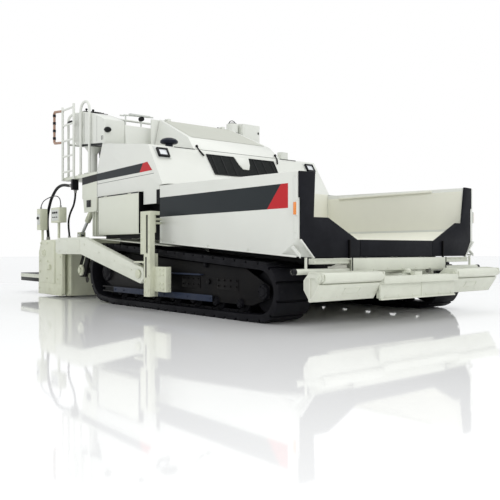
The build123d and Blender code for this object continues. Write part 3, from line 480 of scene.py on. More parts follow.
def pair(bm, name, finish, slot, body="tractor"):
    """Mirror the shapes across the middle plane, then turn both halves into an object."""
    mirrored(bm)
    piece(bm, name, finish, body)


def eased(node, width, finish):
    """Copy of a CAD node with its sharp edges rounded, which stands for the node."""
    source = frame["nodes"][node]
    bm = bmesh.new()
    bm.from_mesh(source.data)
    bmesh.ops.remove_doubles(bm, verts=bm.verts, dist=0.00002)
    bmesh.ops.dissolve_limit(bm, angle_limit=math.radians(1), verts=bm.verts, edges=bm.edges)
    soften(bm, width, angle=25)
    piece(bm, f"{node}_skin", finish, source["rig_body"], (node,), shift=0)


# ------------------------------------------------------------------ settings
class PaverStage(bpy.types.PropertyGroup):
    lens: bpy.props.FloatProperty(
        name="Lens", description="Focal length of the camera", default=47.92, unit="CAMERA",
    )
    eye_height: bpy.props.FloatProperty(
        name="Eye height", description="Height of the camera above the ground",
        default=0.7385, unit="LENGTH",
    )
    eye_side: bpy.props.FloatProperty(
        name="Eye to the side", description="Camera's distance right of the machine's middle",
        default=5.806, unit="LENGTH",
    )
    eye_ahead: bpy.props.FloatProperty(
        name="Eye ahead", description="Camera's distance ahead of the hopper",
        default=4.567, unit="LENGTH",
    )
    heading: bpy.props.FloatProperty(
        name="Heading", description="Camera's turn away from the machine's axis",
        default=math.radians(39.4), subtype="ANGLE",
    )


class PAVER_OT_stage(bpy.types.Operator):
    """Floor, soft lamps and the camera"""

    bl_idname = "paver.stage"
    bl_label = "Stage"

    def execute(self, context):
        settings = context.scene.paver_stage
        scene = context.scene
        scene.view_settings.view_transform = "Standard"

        floor_mesh = bpy.data.meshes.new("floor")
        bm = bmesh.new()
        bmesh.ops.create_grid(bm, x_segments=1, y_segments=1, size=60)
        bm.to_mesh(floor_mesh)
        bm.free()
        floor = bpy.data.objects.new("floor", floor_mesh)
        scene.collection.objects.link(floor)
        finish = Finish("floor_white")
        finish.set(Base_Color=(0.98, 0.98, 0.98), Roughness=0.045, Specular_IOR_Level=0.5)
        floor_mesh.materials.append(finish.material)

        world = bpy.data.worlds.new("studio")
        scene.world = world
        world.use_nodes = True
        tree = world.node_tree
        lighting = tree.nodes["Background"]
        lighting.inputs["Color"].default_value = (0.985, 0.995, 1.0, 1)
        lighting.inputs["Strength"].default_value = 0.925
        white = tree.nodes.new("ShaderNodeBackground")
        white.inputs["Color"].default_value = (1, 1, 1, 1)
        rays = tree.nodes.new("ShaderNodeLightPath")
        choose = tree.nodes.new("ShaderNodeMixShader")
        tree.links.new(rays.outputs["Is Camera Ray"], choose.inputs[0])
        tree.links.new(lighting.outputs[0], choose.inputs[1])
        tree.links.new(white.outputs[0], choose.inputs[2])
        tree.links.new(choose.outputs[0], tree.nodes["World Output"].inputs[0])

        lamps = (
            # name, place, aim, size, watts
            ("key_softbox", (-3, -12, 6), (0, -2, 0.8), 6, 200),
            ("side_softbox", (-10, 2, 4), (-1, 0, 1), 6, 60),
            ("top_softbox", (2, -1, 9), (0, -1, 0), 8, 160),
        )
        for name, place, aim, size, watts in lamps:
            data = bpy.data.lights.new(name, "AREA")
            data.shape = "DISK"
            data.size = size
            data.energy = watts
            lamp = bpy.data.objects.new(name, data)
            lamp.location = place
            lamp.rotation_euler = (Vector(aim) - Vector(place)).to_track_quat("-Z", "Y").to_euler()
            scene.collection.objects.link(lamp)

        camera_data = bpy.data.cameras.new("camera")
        camera_data.lens = settings.lens
        camera_data.shift_y = -0.0012
        camera = bpy.data.objects.new("camera", camera_data)
        camera.location = (-settings.eye_side, FRONT - settings.eye_ahead, settings.eye_height)
        camera.rotation_euler = (math.pi / 2, 0, -settings.heading)
        scene.collection.objects.link(camera)
        scene.camera = camera
        return {"FINISHED"}


class PAVER_OT_finishes(bpy.types.Operator):
    """Paint, rubber and steel on every CAD node"""

    bl_idname = "paver.finishes"
    bl_label = "Finishes"

    def execute(self, context):
        by_slot = {
            "body_white": "body_paint",
            "frame_cream": "frame_paint",
            "hopper_cream": "hopper_paint",
            "track_black": "track_steel",
            "dark_steel": "frame_black",
            "rubber_black": "apron_rubber",
            "black_paint": "black_paint",
            "steel": "worn_steel",
            "chrome": "chrome_plate",
            "lamp": "clear_lens",
            "seat_black": "seat_vinyl",
        }
        for name, node in frame["nodes"].items():
            node.data.materials.clear()
            node.data.materials.append(finish_named(by_slot[SLOTS[name]]))
        return {"FINISHED"}


# ------------------------------------------------------------------ fittings
def both(inner, outer, side):
    """X range on one side of the machine from its distances off the middle."""
    return tuple(sorted((side * inner, side * outer)))


def bolt(bm, place, facing, radius, height):
    """Hexagon head on a washer, standing on a face that looks along facing."""
    place, facing = Vector(place), Vector(facing).normalized()
    rod(bm, place, place + facing * height * 0.3, radius * 1.5, segments=16)
    rod(bm, place, place + facing * height, radius, radius * 0.9, segments=6)


def bolt_row(bm, first, last, count, facing, radius, height):
    """Evenly spaced bolts between two places."""
    first, last = Vector(first), Vector(last)
    for number in range(count):
        bolt(bm, first.lerp(last, number / (count - 1)), facing, radius, height)


def bolt_circle(bm, x, axis, reach, way, radius, height):
    """Six bolts round an axis across the machine, given as (station, height)."""
    for step in range(6):
        turn = math.tau * step / 6
        spot = (x, axis[0] + reach * math.cos(turn), axis[1] + reach * math.sin(turn))
        bolt(bm, spot, (way, 0, 0), radius, height)


def stripe(name, finish, slot, outline):
    """Thin coloured patch on both of the machine's outer sides."""
    bm = bmesh.new()
    side_plate(bm, HOPPER_OUT, outline, 0.0015)
    pair(bm, name, finish, slot)


def ring(bm, centre, facing, radius, thick, segments=32):
    """Round bar bent into a ring about an axis."""
    centre, facing = Vector(centre), Vector(facing).normalized()
    side = facing.orthogonal().normalized()
    turns = [math.tau * step / 8 for step in range(8)]
    outline = [
        centre + side * (radius + thick * math.cos(turn)) + facing * thick * math.sin(turn)
        for turn in turns
    ]
    spun(bm, outline, centre, facing, segments)


def pipe(bm, points, radius):
    """Bent pipe: straight bars with a ball at every corner."""
    for start, end in zip(points, points[1:]):
        rod(bm, start, end, radius, segments=14)
    for corner in points[1:-1]:
        ball(bm, corner, (radius, radius, radius), 14, 8)


def ribbon(bm, route, radius, segments=20):
    """Smooth round tube along a list of closely spaced points."""
    loops = []
    side = None
    for number, point in enumerate(route):
        ahead = route[min(number + 1, len(route) - 1)]
        behind = route[max(number - 1, 0)]
        along = (ahead - behind).normalized()
        side = along.orthogonal() if side is None else side - along * side.dot(along)
        side.normalize()
        turn = Matrix((side, along.cross(side), along)).transposed().to_4x4()
        made = bmesh.ops.create_circle(
            bm, cap_ends=number in (0, len(route) - 1), segments=segments, radius=radius,
            matrix=Matrix.Translation(point) @ turn,
        )["verts"]
        rim = set(made)
        near = {edge for vert in made for edge in vert.link_edges}
        loops.append([edge for edge in near if set(edge.verts) <= rim])
    for first, second in zip(loops, loops[1:]):
        bmesh.ops.bridge_loops(bm, edges=first + second)


def helix(bm, start, along, inner, outer, pitch, turns, hand):
    """Screw flight: the flight's section turned about the shaft and carried along it."""
    thick, steps = 0.014, 20
    start, along = Vector(start), Vector(along).normalized()
    side = along.orthogonal().normalized()
    lip = along * thick / 2
    corners = (
        start + side * inner - lip, start + side * outer - lip * 0.6,
        start + side * outer + lip * 0.6, start + side * inner + lip,
    )
    face = bm.faces.new([bm.verts.new(corner) for corner in corners])
    bmesh.ops.spin(
        bm, geom=[face], cent=start, axis=along, dvec=along * pitch / steps,
        angle=math.tau * turns * hand, steps=steps * turns,
    )


# Nodes whose edges are eased: finish, then edge radius in metres and the nodes that get it
SKINS = {
    "body_paint": {
        0.006: ("hopper_wall_left", "hopper_wall_right"),
        0.008: ("engine_house",),
        0.010: ("engine_lid",),
        0.003: ("exhaust_stack",),
        0.014: ("instrument_console",),
        0.022: ("side_console_left", "side_console_right"),
        0.001: ("ladder", "guard_rails"),
    },
    "hopper_paint": {
        0.003: ("hopper_floor", "hopper_bulkhead"),
        0.002: ("trough",),
    },
    "apron_rubber": {
        0.005: ("hopper_aprons", "front_gate"),
    },
    "frame_paint": {
        0.003: ("nose",),
        0.002: ("cross_tube",),
        0.004: ("push_beam", "push_roller_left", "push_roller_right"),
        0.010: ("side_tanks",),
        0.005: ("operator_platform",),
        0.006: ("tow_arms",),
    },
    "black_paint": {
        0.003: ("chassis", "cross_beams"),
        0.004: ("walkway",),
    },
    "frame_black": {
        0.003: ("track_frames",),
        0.004: ("rear_frame",),
    },
    "track_steel": {
        0.006: ("track_rollers", "drive_sprockets"),
        0.004: ("track_left", "track_right"),
    },
    "engine_grey": {
        0.020: ("engine_block",),
    },
    "seat_vinyl": {
        0.035: ("seat_left", "seat_right"),
    },
    "screed_paint": {
        0.004: ("tow_posts", "main_screed", "screed_extension_left", "screed_extension_right"),
        0.003: ("tow_cylinders", "rod_clevises", "lift_barrels"),
        0.006: ("screed_valve_block",),
        0.005: ("end_gate_left", "end_gate_right"),
    },
}


class PAVER_OT_skins(bpy.types.Operator):
    """Copies of the CAD pieces with their edges eased"""

    bl_idname = "paver.skins"
    bl_label = "Eased pieces"

    def execute(self, context):
        for finish, widths in SKINS.items():
            for width, nodes in widths.items():
                for node in nodes:
                    eased(node, width, finish)
        return {"FINISHED"}


class PAVER_OT_screws(bpy.types.Operator):
    """Remixing and spreading screws with true spiral flights"""

    bl_idname = "paver.screws"
    bl_label = "Screws"

    def execute(self, context):
        # The flights take a darkened steel: painted shade for the dark they sit in under the
        # machine
        for number in range(1, 5):
            node = f"remix_screw_{number}"
            low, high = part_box(node)
            x, z = (low.x + high.x) / 2, (low.z + high.z) / 2
            bm = bmesh.new()
            rod(bm, (x, low.y - FRONT, z), (x, high.y - FRONT, z), 0.045, segments=32)
            helix(bm, (x, 0.270, z), (0, 1, 0), 0.044, 0.140, 0.300, 13, 1 if number % 2 else -1)
            piece(bm, f"remix_flight_{number}", "shaded_screw_steel", node, (node,))
        pitch = 0.320
        for side, way in SIDES:
            node = f"spreading_screw_{side}"
            bm = bmesh.new()
            rod(bm, (way * 0.035, *SPREADER), (way * 1.435, *SPREADER), 0.050, segments=32)
            helix(bm, (way * 0.115, *SPREADER), (way, 0, 0), 0.049, 0.190, pitch, 4, 1)
            for turn in range(4):
                hub = 0.20 + turn * pitch
                rod(bm, (way * hub, *SPREADER), (way * (hub + 0.04), *SPREADER), 0.066, segments=32)
            piece(bm, f"spreading_flight_{side}", "shaded_screw_steel", node, (node,))
        return {"FINISHED"}


class PAVER_OT_hopper_trim(bpy.types.Operator):
    """Stripes, flanges, ledges, lamps and bolts of the hopper"""

    bl_idname = "paver.hopper_trim"
    bl_label = "Hopper trim"

    def execute(self, context):
        out = HOPPER_OUT
        long_face = ((2.455, 1.137), (0.445, 1.137), (0.237, 1.375), (2.455, 1.375))
        stripe("wall_stripe", "charcoal_paint", "black_paint", long_face)
        end_face = ((0.445, 1.137), (0.137, 1.137), (0.137, 1.375), (0.237, 1.375))
        stripe("wall_stripe_end", "red_paint", "rubber_black", end_face)

        # Folded front flange of each wall with the strip along its cut-off corner
        bm = bmesh.new()
        cube(bm, (out, out + 0.003), (0.004, 0.060), (0.835, 1.473))
        strip = ((0.071, 0.775), (-0.020, 0.690), (-0.020, 0.655), (0.113, 0.760))
        side_plate(bm, out - 0.020, strip, 0.012)
        rail = ((1.449, 0.836), (1.462, 0.826), (1.285, 0.650), (1.272, 0.658))
        plate(bm, [(x, -0.030, z) for x, z in rail], (0, 0.030, 0))
        for height in (0.90, 1.10, 1.30, 1.44):
            bolt(bm, (out + 0.003, 0.032, height), LEFT, 0.007, 0.006)
        soften(bm, 0.001)
        pair(bm, "wall_flange", "body_paint", "body_white")

        # Lower stiffening fold along each wall with its bolts
        bm = bmesh.new()
        fold = ((0.02, 0.662), (2.455, 0.818), (2.455, 0.836), (0.02, 0.680))
        side_plate(bm, out, fold, 0.004)
        for station in (0.75, 1.45, 2.15):
            along_fold = (out + 0.004, station, 0.685 + 0.0634 * station)
            bolt(bm, along_fold, LEFT, 0.009, 0.008)
        pair(bm, "wall_fold", "body_paint", "body_white")

        # Ledge under the inner top edge of each wall
        bm = bmesh.new()
        cube(bm, (HOPPER_IN - 0.022, HOPPER_IN + 0.001), (0.45, 2.02), (1.452, 1.474))
        side_plate(bm, HOPPER_IN - 0.006, oblong((0.45, 2.02), (1.452, 1.438)), 0.007)
        soften(bm, 0.002)
        pair(bm, "wall_ledge", "hopper_paint", "hopper_cream")

        # Cream liners on the walls' inner faces and the bolts of the bulkhead's plates
        bm = bmesh.new()
        liner = ((0.02, 0.985), (2.24, 0.985), (2.24, 1.470), (0.02, 1.440))
        side_plate(bm, HOPPER_IN - 0.0015, liner, 0.002)
        mirrored(bm)
        for x in (-0.84, -0.28, 0.28, 0.84):
            for z in (1.06, 1.42):
                ends = (x - 0.22, 2.250, z), (x + 0.22, 2.250, z)
                bolt_row(bm, *ends, 4, AHEAD, 0.008, 0.005)
        piece(bm, "hopper_liners", "hopper_paint")

        # Amber side markers in pale rims
        bm = bmesh.new()
        cube(bm, (out, out + 0.034), (0.000, 0.032), (1.066, 1.186))
        soften(bm, 0.004)
        pair(bm, "side_markers", "amber_lens", "lamp")
        bm = bmesh.new()
        cube(bm, (out, out + 0.022), (-0.004, 0.036), (1.058, 1.194))
        pair(bm, "marker_rims", "body_paint", "body_white")

        # Black stop bars beside the gate and the catch under the lip
        bm = bmesh.new()
        for x in (-0.795, 0.795):
            cube(bm, (x - 0.0055, x + 0.0055), (-0.0840, -0.0795), (0.520, 0.655))
            cube(bm, (x - 0.0078, x + 0.0078), (-0.0510, -0.0285), (0.650, 0.8365))
        piece(bm, "gate_stops", "frame_black")
        bm = bmesh.new()
        rod(bm, (0.49, -0.080, 0.505), (0.49, -0.040, 0.505), 0.024)
        piece(bm, "lip_catch", "worn_steel")

        # Ribs and bolts along the lip
        bm = bmesh.new()
        cube(bm, (0.80, 1.30), (-0.046, -0.040), (0.600, 0.612))
        cube(bm, (0.80, 1.30), (-0.050, -0.040), (0.640, 0.650))
        bolt_row(bm, (0.86, -0.040, 0.626), (1.25, -0.040, 0.626), 5, AHEAD, 0.008, 0.006)
        mirrored(bm)
        bolt_row(bm, (-0.72, -0.080, 0.54), (0.72, -0.080, 0.54), 7, AHEAD, 0.008, 0.006)
        piece(bm, "lip_strips", "frame_paint")
        return {"FINISHED"}


class PAVER_OT_push_trim(bpy.types.Operator):
    """Fittings of the push beam and its rollers"""

    bl_idname = "paver.push_trim"
    bl_label = "Push beam trim"

    def execute(self, context):
        for side, way in SIDES:
            bm = bmesh.new()
            for x in (0.646, 1.454):
                ring(bm, (way * x, *ROLLER), LEFT, 0.043, 0.006)
            piece(bm, f"roller_rims_{side}", "frame_paint", f"push_roller_{side}")
        # Caps of the rollers' pins
        bm = bmesh.new()
        for x, way in ((1.500, 1), (0.615, -1)):
            rod(bm, (x - way * 0.002, *ROLLER), (x + way * 0.010, *ROLLER), 0.036)
            bolt(bm, (x + way * 0.010, *ROLLER), (way, 0, 0), 0.016, 0.012)
        # Raised panel and bolts on the sloping guard plates
        lean = Vector((0, 0.110, -0.156)).normalized()
        across = Vector((0, -0.156, -0.110)).normalized()
        origin = Vector((0, -0.305, 0.412))
        for bar in rim_bars((0.90, 1.12), (0.05, 0.12), 0.006):
            plate(bm, [origin + lean * rise + Vector((x, 0, 0)) for x, rise in bar], across * 0.004)
        for x in (0.72, 0.86, 1.16, 1.38):
            bolt(bm, origin + lean * 0.15 + Vector((x, 0, 0)), across, 0.008, 0.007)
        # Rib on the bracket's outer face
        rib = ((-0.335, 0.505), (-0.180, 0.515), (-0.155, 0.492), (-0.135, 0.470), (-0.335, 0.478))
        side_plate(bm, 1.500, rib, 0.006)
        mirrored(bm)
        # Middle beam: lower flange, rib and the swing pin's head
        cube(bm, (-0.630, 0.630), (-0.312, -0.296), (0.235, 0.250))
        cube(bm, (-0.625, 0.625), (-0.352, -0.348), (0.405, 0.412))
        cube(bm, (0.030, 0.046), (-0.306, -0.299), (0.250, 0.400))
        bolt_row(bm, (-0.56, -0.300, 0.270), (0.56, -0.300, 0.270), 6, AHEAD, 0.009, 0.007)
        for x in (-0.055, 0.055):
            cube(bm, (x - 0.006, x + 0.006), (-0.29, -0.23), (0.504, 0.512))
        rod(bm, (0, -0.150, 0.504), (0, -0.150, 0.524), 0.036)
        rod(bm, (0, -0.150, 0.524), (0, -0.150, 0.534), 0.028, 0.020)
        piece(bm, "push_beam_trim", "frame_paint", body="push_beam")

        # Open ends of the cross tube: a black ring and a black plug in the mouth, painted shade for
        # the dark bore
        bm = bmesh.new()
        tube(bm, (1.520, *CROSS_TUBE), (1.562, *CROSS_TUBE), 0.030, 0.022)
        rod(bm, (1.500, *CROSS_TUBE), (1.548, *CROSS_TUBE), 0.0221)
        pair(bm, "cross_tube_bore_shade", "black_paint", "black_paint")
        return {"FINISHED"}


class PAVER_OT_track_trim(bpy.types.Operator):
    """Hubs, rails, bolts and sprocket teeth of the tracks"""

    bl_idname = "paver.track_trim"
    bl_label = "Track trim"

    def execute(self, context):
        bm = bmesh.new()
        # Wheels: axis, then the hub's radius
        wheels = [((0.880 + 0.430 * count, 0.170), 0.052) for count in range(7)]
        wheels += [((1.500, 0.568), 0.034), ((2.750, 0.650), 0.034)]
        wheels += [((0.510, 0.310), 0.085), (SPROCKET, 0.13)]
        for axis, radius in wheels:
            rod(bm, (WEB_OUT, *axis), (1.476, *axis), radius, radius * 0.86)
            rod(bm, (1.476, *axis), (1.484, *axis), radius * 0.55, radius * 0.45)
            bolt_circle(bm, 1.470, axis, radius * 0.72, 1, radius * 0.12, 0.012)
        # Teeth of the drive sprocket in the gap of the belt
        for step in range(17):
            turn = math.tau * step / 17
            along = Vector((0, math.cos(turn), math.sin(turn)))
            for x in (1.24, 1.34):
                hub = Vector((x, *SPROCKET))
                rod(bm, hub + along * 0.30, hub + along * 0.345, 0.026, 0.013, 8)
        pair(bm, "track_hubs", "track_steel", "track_black")

        # Link rails on the belt's inner face, seen between the rollers
        bm = bmesh.new()
        for x in (1.20, 1.372):
            cube(bm, (x, x + 0.030), (0.80, 3.52), (0.0745, 0.098))
            for count in range(18):
                station = 0.84 + count * 0.155
                cube(bm, (x - 0.008, x + 0.038), (station, station + 0.06), (0.0745, 0.090))
        pair(bm, "track_links", "track_steel", "track_black")

        # Guide bars and the step along the frame's outer side
        bm = bmesh.new()
        cube(bm, (WEB_OUT, 1.500), (1.56, 2.25), (0.448, 0.464))
        cube(bm, (1.503, 1.507), (1.32, 3.58), (0.165, 0.236))
        soften(bm, 0.002)
        for station in (1.36, 1.80, 2.30, 2.80, 3.30, 3.54):
            bolt(bm, (1.507, station, 0.200), LEFT, 0.010, 0.008)
        pair(bm, "track_guards", "guard_grey", "dark_steel")

        # Access plates and a plug on the frame's outer web
        bm = bmesh.new()
        plates = (
            # outer face, stations, heights
            (1.456, (0.92, 1.30), (0.30, 0.42)),
            (1.458, (1.62, 1.98), (0.30, 0.43)),
            (1.470, (2.78, 3.12), (0.33, 0.46)),
        )
        for out, (start, end), heights in plates:
            cube(bm, (WEB_OUT, out), (start, end), heights)
            for z in (0.405, 0.34):
                ends = (1.456, start + 0.03, z), (1.456, end - 0.03, z)
                bolt_row(bm, *ends, 4, LEFT, 0.009, 0.014)
        rod(bm, (WEB_OUT, 1.45, 0.38), (1.474, 1.45, 0.38), 0.030)
        soften(bm, 0.001)
        pair(bm, "track_plates", "frame_black", "black_paint")
        return {"FINISHED"}


def up_fascia(x, rise, lift=0.0):
    """Point on the fascia: a distance up from its lower edge, lifted off its face."""
    foot, slope = Vector((x, 2.400, 1.540)), Vector((0, 0.340, 0.530)).normalized()
    return foot + slope * rise + Vector((0, -slope.z, slope.y)) * lift


def fascia_plate(bm, outline, low, high):
    """Plate that lies on the fascia, from (x, rise) points."""
    face = [up_fascia(x, rise, low) for x, rise in outline]
    plate(bm, face, up_fascia(0, 0, high) - up_fascia(0, 0, low))


def deck_z(station):
    """Height of the deck at a station."""
    return 2.070 + 0.160 * (station - 2.740) / 1.240


class PAVER_OT_fascia_trim(bpy.types.Operator):
    """Grille mesh, headlights, latches and seams on the house's fascia"""

    bl_idname = "paver.fascia_trim"
    bl_label = "Fascia trim"

    def execute(self, context):
        # Perforated black grille in one sheet with a notch for the bare badge
        bm = bmesh.new()
        sheet = (
            (-0.580, 0.225), (0.580, 0.225), (0.600, 0.557), (0.135, 0.557), (0.105, 0.430),
            (0.060, 0.345), (-0.060, 0.345), (-0.105, 0.430), (-0.135, 0.557), (-0.600, 0.557),
        )
        fascia_plate(bm, sheet, 0.001, 0.008)
        piece(bm, "grille_mesh", "grille_mesh")
        bm = bmesh.new()
        for way in (-1, 1):
            half = ((0.0, 0.225), (0.580, 0.225), (0.600, 0.557), (0.135, 0.557))
            edge = [up_fascia(way * x, rise, 0.008) for x, rise in half]
            for start, end in zip(edge, edge[1:]):
                rod(bm, start, end, 0.006, segments=10)
            for x in (0.20, 0.36, 0.52):
                rib = oblong((way * x, way * (x + 0.012)), (0.232, 0.550))
                fascia_plate(bm, rib, 0.008, 0.013)
        piece(bm, "grille_frame", "black_paint")

        # Badge plate left bare
        bm = bmesh.new()
        badge = (
            (-0.052, 0.350), (0.052, 0.350), (0.097, 0.432), (0.126, 0.555),
            (-0.126, 0.555), (-0.097, 0.432),
        )
        fascia_plate(bm, badge, 0.001, 0.014)
        soften(bm, 0.002)
        piece(bm, "badge_plate", "body_paint")

        # Headlights: thick rim, lens and the slanting panel behind them
        rim, lens, hood = bmesh.new(), bmesh.new(), bmesh.new()
        rise = 0.500
        for way in (-1, 1):
            x = way * 1.300
            for bar in rim_bars((x - 0.082, x + 0.082), (rise - 0.068, rise + 0.068), 0.024):
                fascia_plate(rim, bar, 0.002, 0.034)
            face = oblong((x - 0.066, x + 0.066), (rise - 0.052, rise + 0.052))
            fascia_plate(lens, face, 0.002, 0.022)
            face = (
                (x - way * 0.105, rise - 0.085), (x + way * 0.100, rise - 0.085),
                (x + way * 0.120, rise + 0.100), (x - way * 0.100, rise + 0.085),
            )
            fascia_plate(hood, face, 0.001, 0.006)
        soften(rim, 0.004)
        soften(lens, 0.006, 3)
        soften(hood, 0.003)
        piece(rim, "headlight_rims", "black_paint", replaces=("headlights",))
        piece(lens, "headlight_lenses", "clear_lens")
        piece(hood, "headlight_hoods", "grey_paint")

        # Rubber latches at the lid's corners and the dark seam at the fascia's top
        bm = bmesh.new()
        for way in (-1, 1):
            foot, head = up_fascia(way * 0.690, 0.600, 0.010), up_fascia(way * 0.655, 0.520, 0.016)
            rod(bm, foot, head, 0.011, segments=12)
            top = Vector((way * 0.700, 2.765, 2.110))
            rod(bm, foot, top, 0.009, segments=12)
            rod(bm, top, top + Vector((0, 0.012, 0.020)), 0.018, segments=14)
            seam = oblong((way * 0.760, way * 1.080), (0.624, 0.631))
            fascia_plate(bm, seam, 0.001, 0.006)
        piece(bm, "lid_latches", "black_paint")
        return {"FINISHED"}


class PAVER_OT_house_trim(bpy.types.Operator):
    """Stripes, doors, seams and brackets on the house's sides"""

    bl_idname = "paver.house_trim"
    bl_label = "House trim"

    def execute(self, context):
        out = HOPPER_OUT
        long_face = ((4.150, 1.713), (2.948, 1.727), (2.860, 1.841), (4.150, 1.814))
        stripe("house_stripe", "charcoal_paint", "black_paint", long_face)
        end_face = ((2.948, 1.727), (2.637, 1.731), (2.756, 1.848), (2.860, 1.841))
        stripe("house_stripe_end", "red_paint", "rubber_black", end_face)
        rear_face = ((4.625, 1.688), (4.152, 1.713), (4.152, 1.814), (4.625, 1.797))
        stripe("platform_stripe", "black_paint", "black_paint", rear_face)

        # Seams along the doors' lower edge and behind the last door
        bm = bmesh.new()
        for ends in (((4.145, 1.668), (2.600, 1.688)), ((4.140, 1.49), (4.140, 1.845))):
            start, end = (Vector((out, *spot)) for spot in ends)
            along = (end - start).normalized()
            side = Vector((0, -along.z, along.y)) * 0.0028
            plate(bm, (start - side, end - side, end + side, start + side), (0.0008, 0, 0))
        pair(bm, "house_seams", "seam_grey", "dark_steel")

        # Black plates that paint the shade in the gap behind the hopper, in the tank's recessed
        # joint and in the gap under the tank
        bm = bmesh.new()
        cube(bm, (out - 0.030, out - 0.0005), (2.462, 2.538), (1.30, 1.478))
        cube(bm, (1.30, 1.32), (2.462, 2.920), (0.86, 1.478))
        cube(bm, (1.30, 1.4995), (2.912, 2.9195), (0.945, 1.478))
        cube(bm, (1.392, 1.402), (2.950, 4.000), (0.888, 0.945))
        pair(bm, "house_gap_shade", "frame_black", "dark_steel")

        # Service door of the tank with its hinges, and the seals round it
        bm = bmesh.new()
        x = TANK_OUT
        side_plate(bm, x, oblong((2.935, 4.035), (0.955, 1.462)), 0.004)
        soften(bm, 0.0015)
        for station in (3.15, 3.82):
            start, end = (x + 0.006, station - 0.04, 1.466), (x + 0.006, station + 0.04, 1.466)
            rod(bm, start, end, 0.006, segments=12)
        pair(bm, "tank_doors", "frame_paint", "frame_cream")
        bm = bmesh.new()
        cube(bm, (x, x + 0.003), (2.925, 4.048), (1.4655, 1.4795))
        cube(bm, (x, x + 0.003), (4.038, 4.050), (0.95, 1.4795))
        pair(bm, "tank_seals", "black_paint", "black_paint")

        # Cream column and two tubes that carry the platform's corner behind the tank
        bm = bmesh.new()
        cube(bm, (1.050, 1.380), (4.130, 4.142), (0.940, 1.285))
        cube(bm, (1.368, 1.380), (4.142, 4.430), (0.930, 1.285))
        cube(bm, (1.050, 1.380), (4.130, 4.430), (0.928, 0.940))
        soften(bm, 0.003)
        for station in (4.330, 4.405):
            rod(bm, (1.400, station, 0.930), (1.400, station, 1.480), 0.013)
        pair(bm, "corner_columns", "frame_paint", "frame_cream")

        # Dark marker on the rear corner bracket and the bracket's folded edges
        bm = bmesh.new()
        cube(bm, (out, out + 0.012), (4.330, 4.465), (1.352, 1.455))
        soften(bm, 0.004)
        pair(bm, "rear_markers", "black_paint", "black_paint")
        bm = bmesh.new()
        cube(bm, (out, out + 0.004), (4.155, 4.175), (1.285, 1.475))
        cube(bm, (out, out + 0.004), (4.155, 4.560), (1.282, 1.296))
        side_plate(bm, out, oblong((4.315, 4.480), (1.340, 1.468)), 0.006)
        pair(bm, "rear_bracket_folds", "frame_paint", "frame_cream")
        return {"FINISHED"}


class PAVER_OT_deck_trim(bpy.types.Operator):
    """Intake cap, exhaust rim, small boxes and the lid's panels"""

    bl_idname = "paver.deck_trim"
    bl_label = "Deck trim"

    def execute(self, context):
        # Dark domed intake cap on the right side of the deck
        bm = bmesh.new()
        foot = Vector((-1.100, 2.830, deck_z(2.830) + 0.012))
        profile = (
            (0.050, -0.020), (0.050, 0.022), (0.100, 0.026), (0.116, 0.038), (0.116, 0.062),
            (0.090, 0.086), (0.045, 0.100), (0.0, 0.104),
        )
        outline = [foot + Vector((radius, 0, rise)) for radius, rise in profile]
        spun(bm, outline, foot, UP, 40, closed=False)
        bmesh.ops.remove_doubles(bm, verts=bm.verts, dist=0.0001)
        piece(bm, "intake_cap", "cap_blue_black")

        # Cream box on the left side of the deck
        bm = bmesh.new()
        cube(bm, (0.900, 1.040), (2.860, 2.950), (deck_z(2.86), 2.205))
        soften(bm, 0.008)
        for x in (0.92, 1.02):
            bolt(bm, (x, 2.860, 2.18), AHEAD, 0.006, 0.005)
        piece(bm, "deck_box", "body_paint")

        # Exhaust: black rolled rim with a bar across the mouth, then steel bands
        bm = bmesh.new()
        x, station = 0.815, 3.948
        ring(bm, (x, station, 2.775), UP, 0.064, 0.006)
        tube(bm, (x, station, 2.66), (x, station, 2.778), 0.066, 0.056)
        rod(bm, (x, station, 2.50), (x, station, 2.52), 0.060)
        arch = [
            Vector((x + 0.060 * math.cos(turn), station, 2.778 + 0.042 * math.sin(turn)))
            for turn in [math.pi * step / 16 for step in range(17)]
        ]
        ribbon(bm, arch, 0.006, 10)
        piece(bm, "exhaust_rim", "black_paint")
        bm = bmesh.new()
        for z in (2.40, 2.62):
            ring(bm, (x, station, z), UP, 0.0955, 0.004)
        piece(bm, "exhaust_bands", "worn_steel")

        # Air cleaner box: door, clips and slots
        bm = bmesh.new()
        cube(bm, (0.945, 1.240), (3.796, 3.801), (2.29, 2.72))
        soften(bm, 0.002)
        piece(bm, "air_box_door", "body_paint")
        bm = bmesh.new()
        for z in (2.36, 2.64):
            cube(bm, (1.225, 1.252), (3.792, 3.798), (z - 0.018, z + 0.018))
        for z in (2.45, 2.50, 2.55, 2.60):
            cube(bm, (1.269, 1.273), (3.84, 3.94), (z - 0.006, z + 0.006))
        piece(bm, "air_box_clips", "black_paint")

        # Lid: top panel painted a darker grey, painted shade for its upward slope
        bm = bmesh.new()
        top = (
            (-0.655, 2.965, 2.2735), (0.655, 2.965, 2.2735),
            (0.600, 3.765, 2.6265), (-0.600, 3.765, 2.6265),
        )
        plate(bm, top, (0, -0.001, 0.0025))
        piece(bm, "lid_panel", "lid_shade_grey", body="engine_lid")
        return {"FINISHED"}


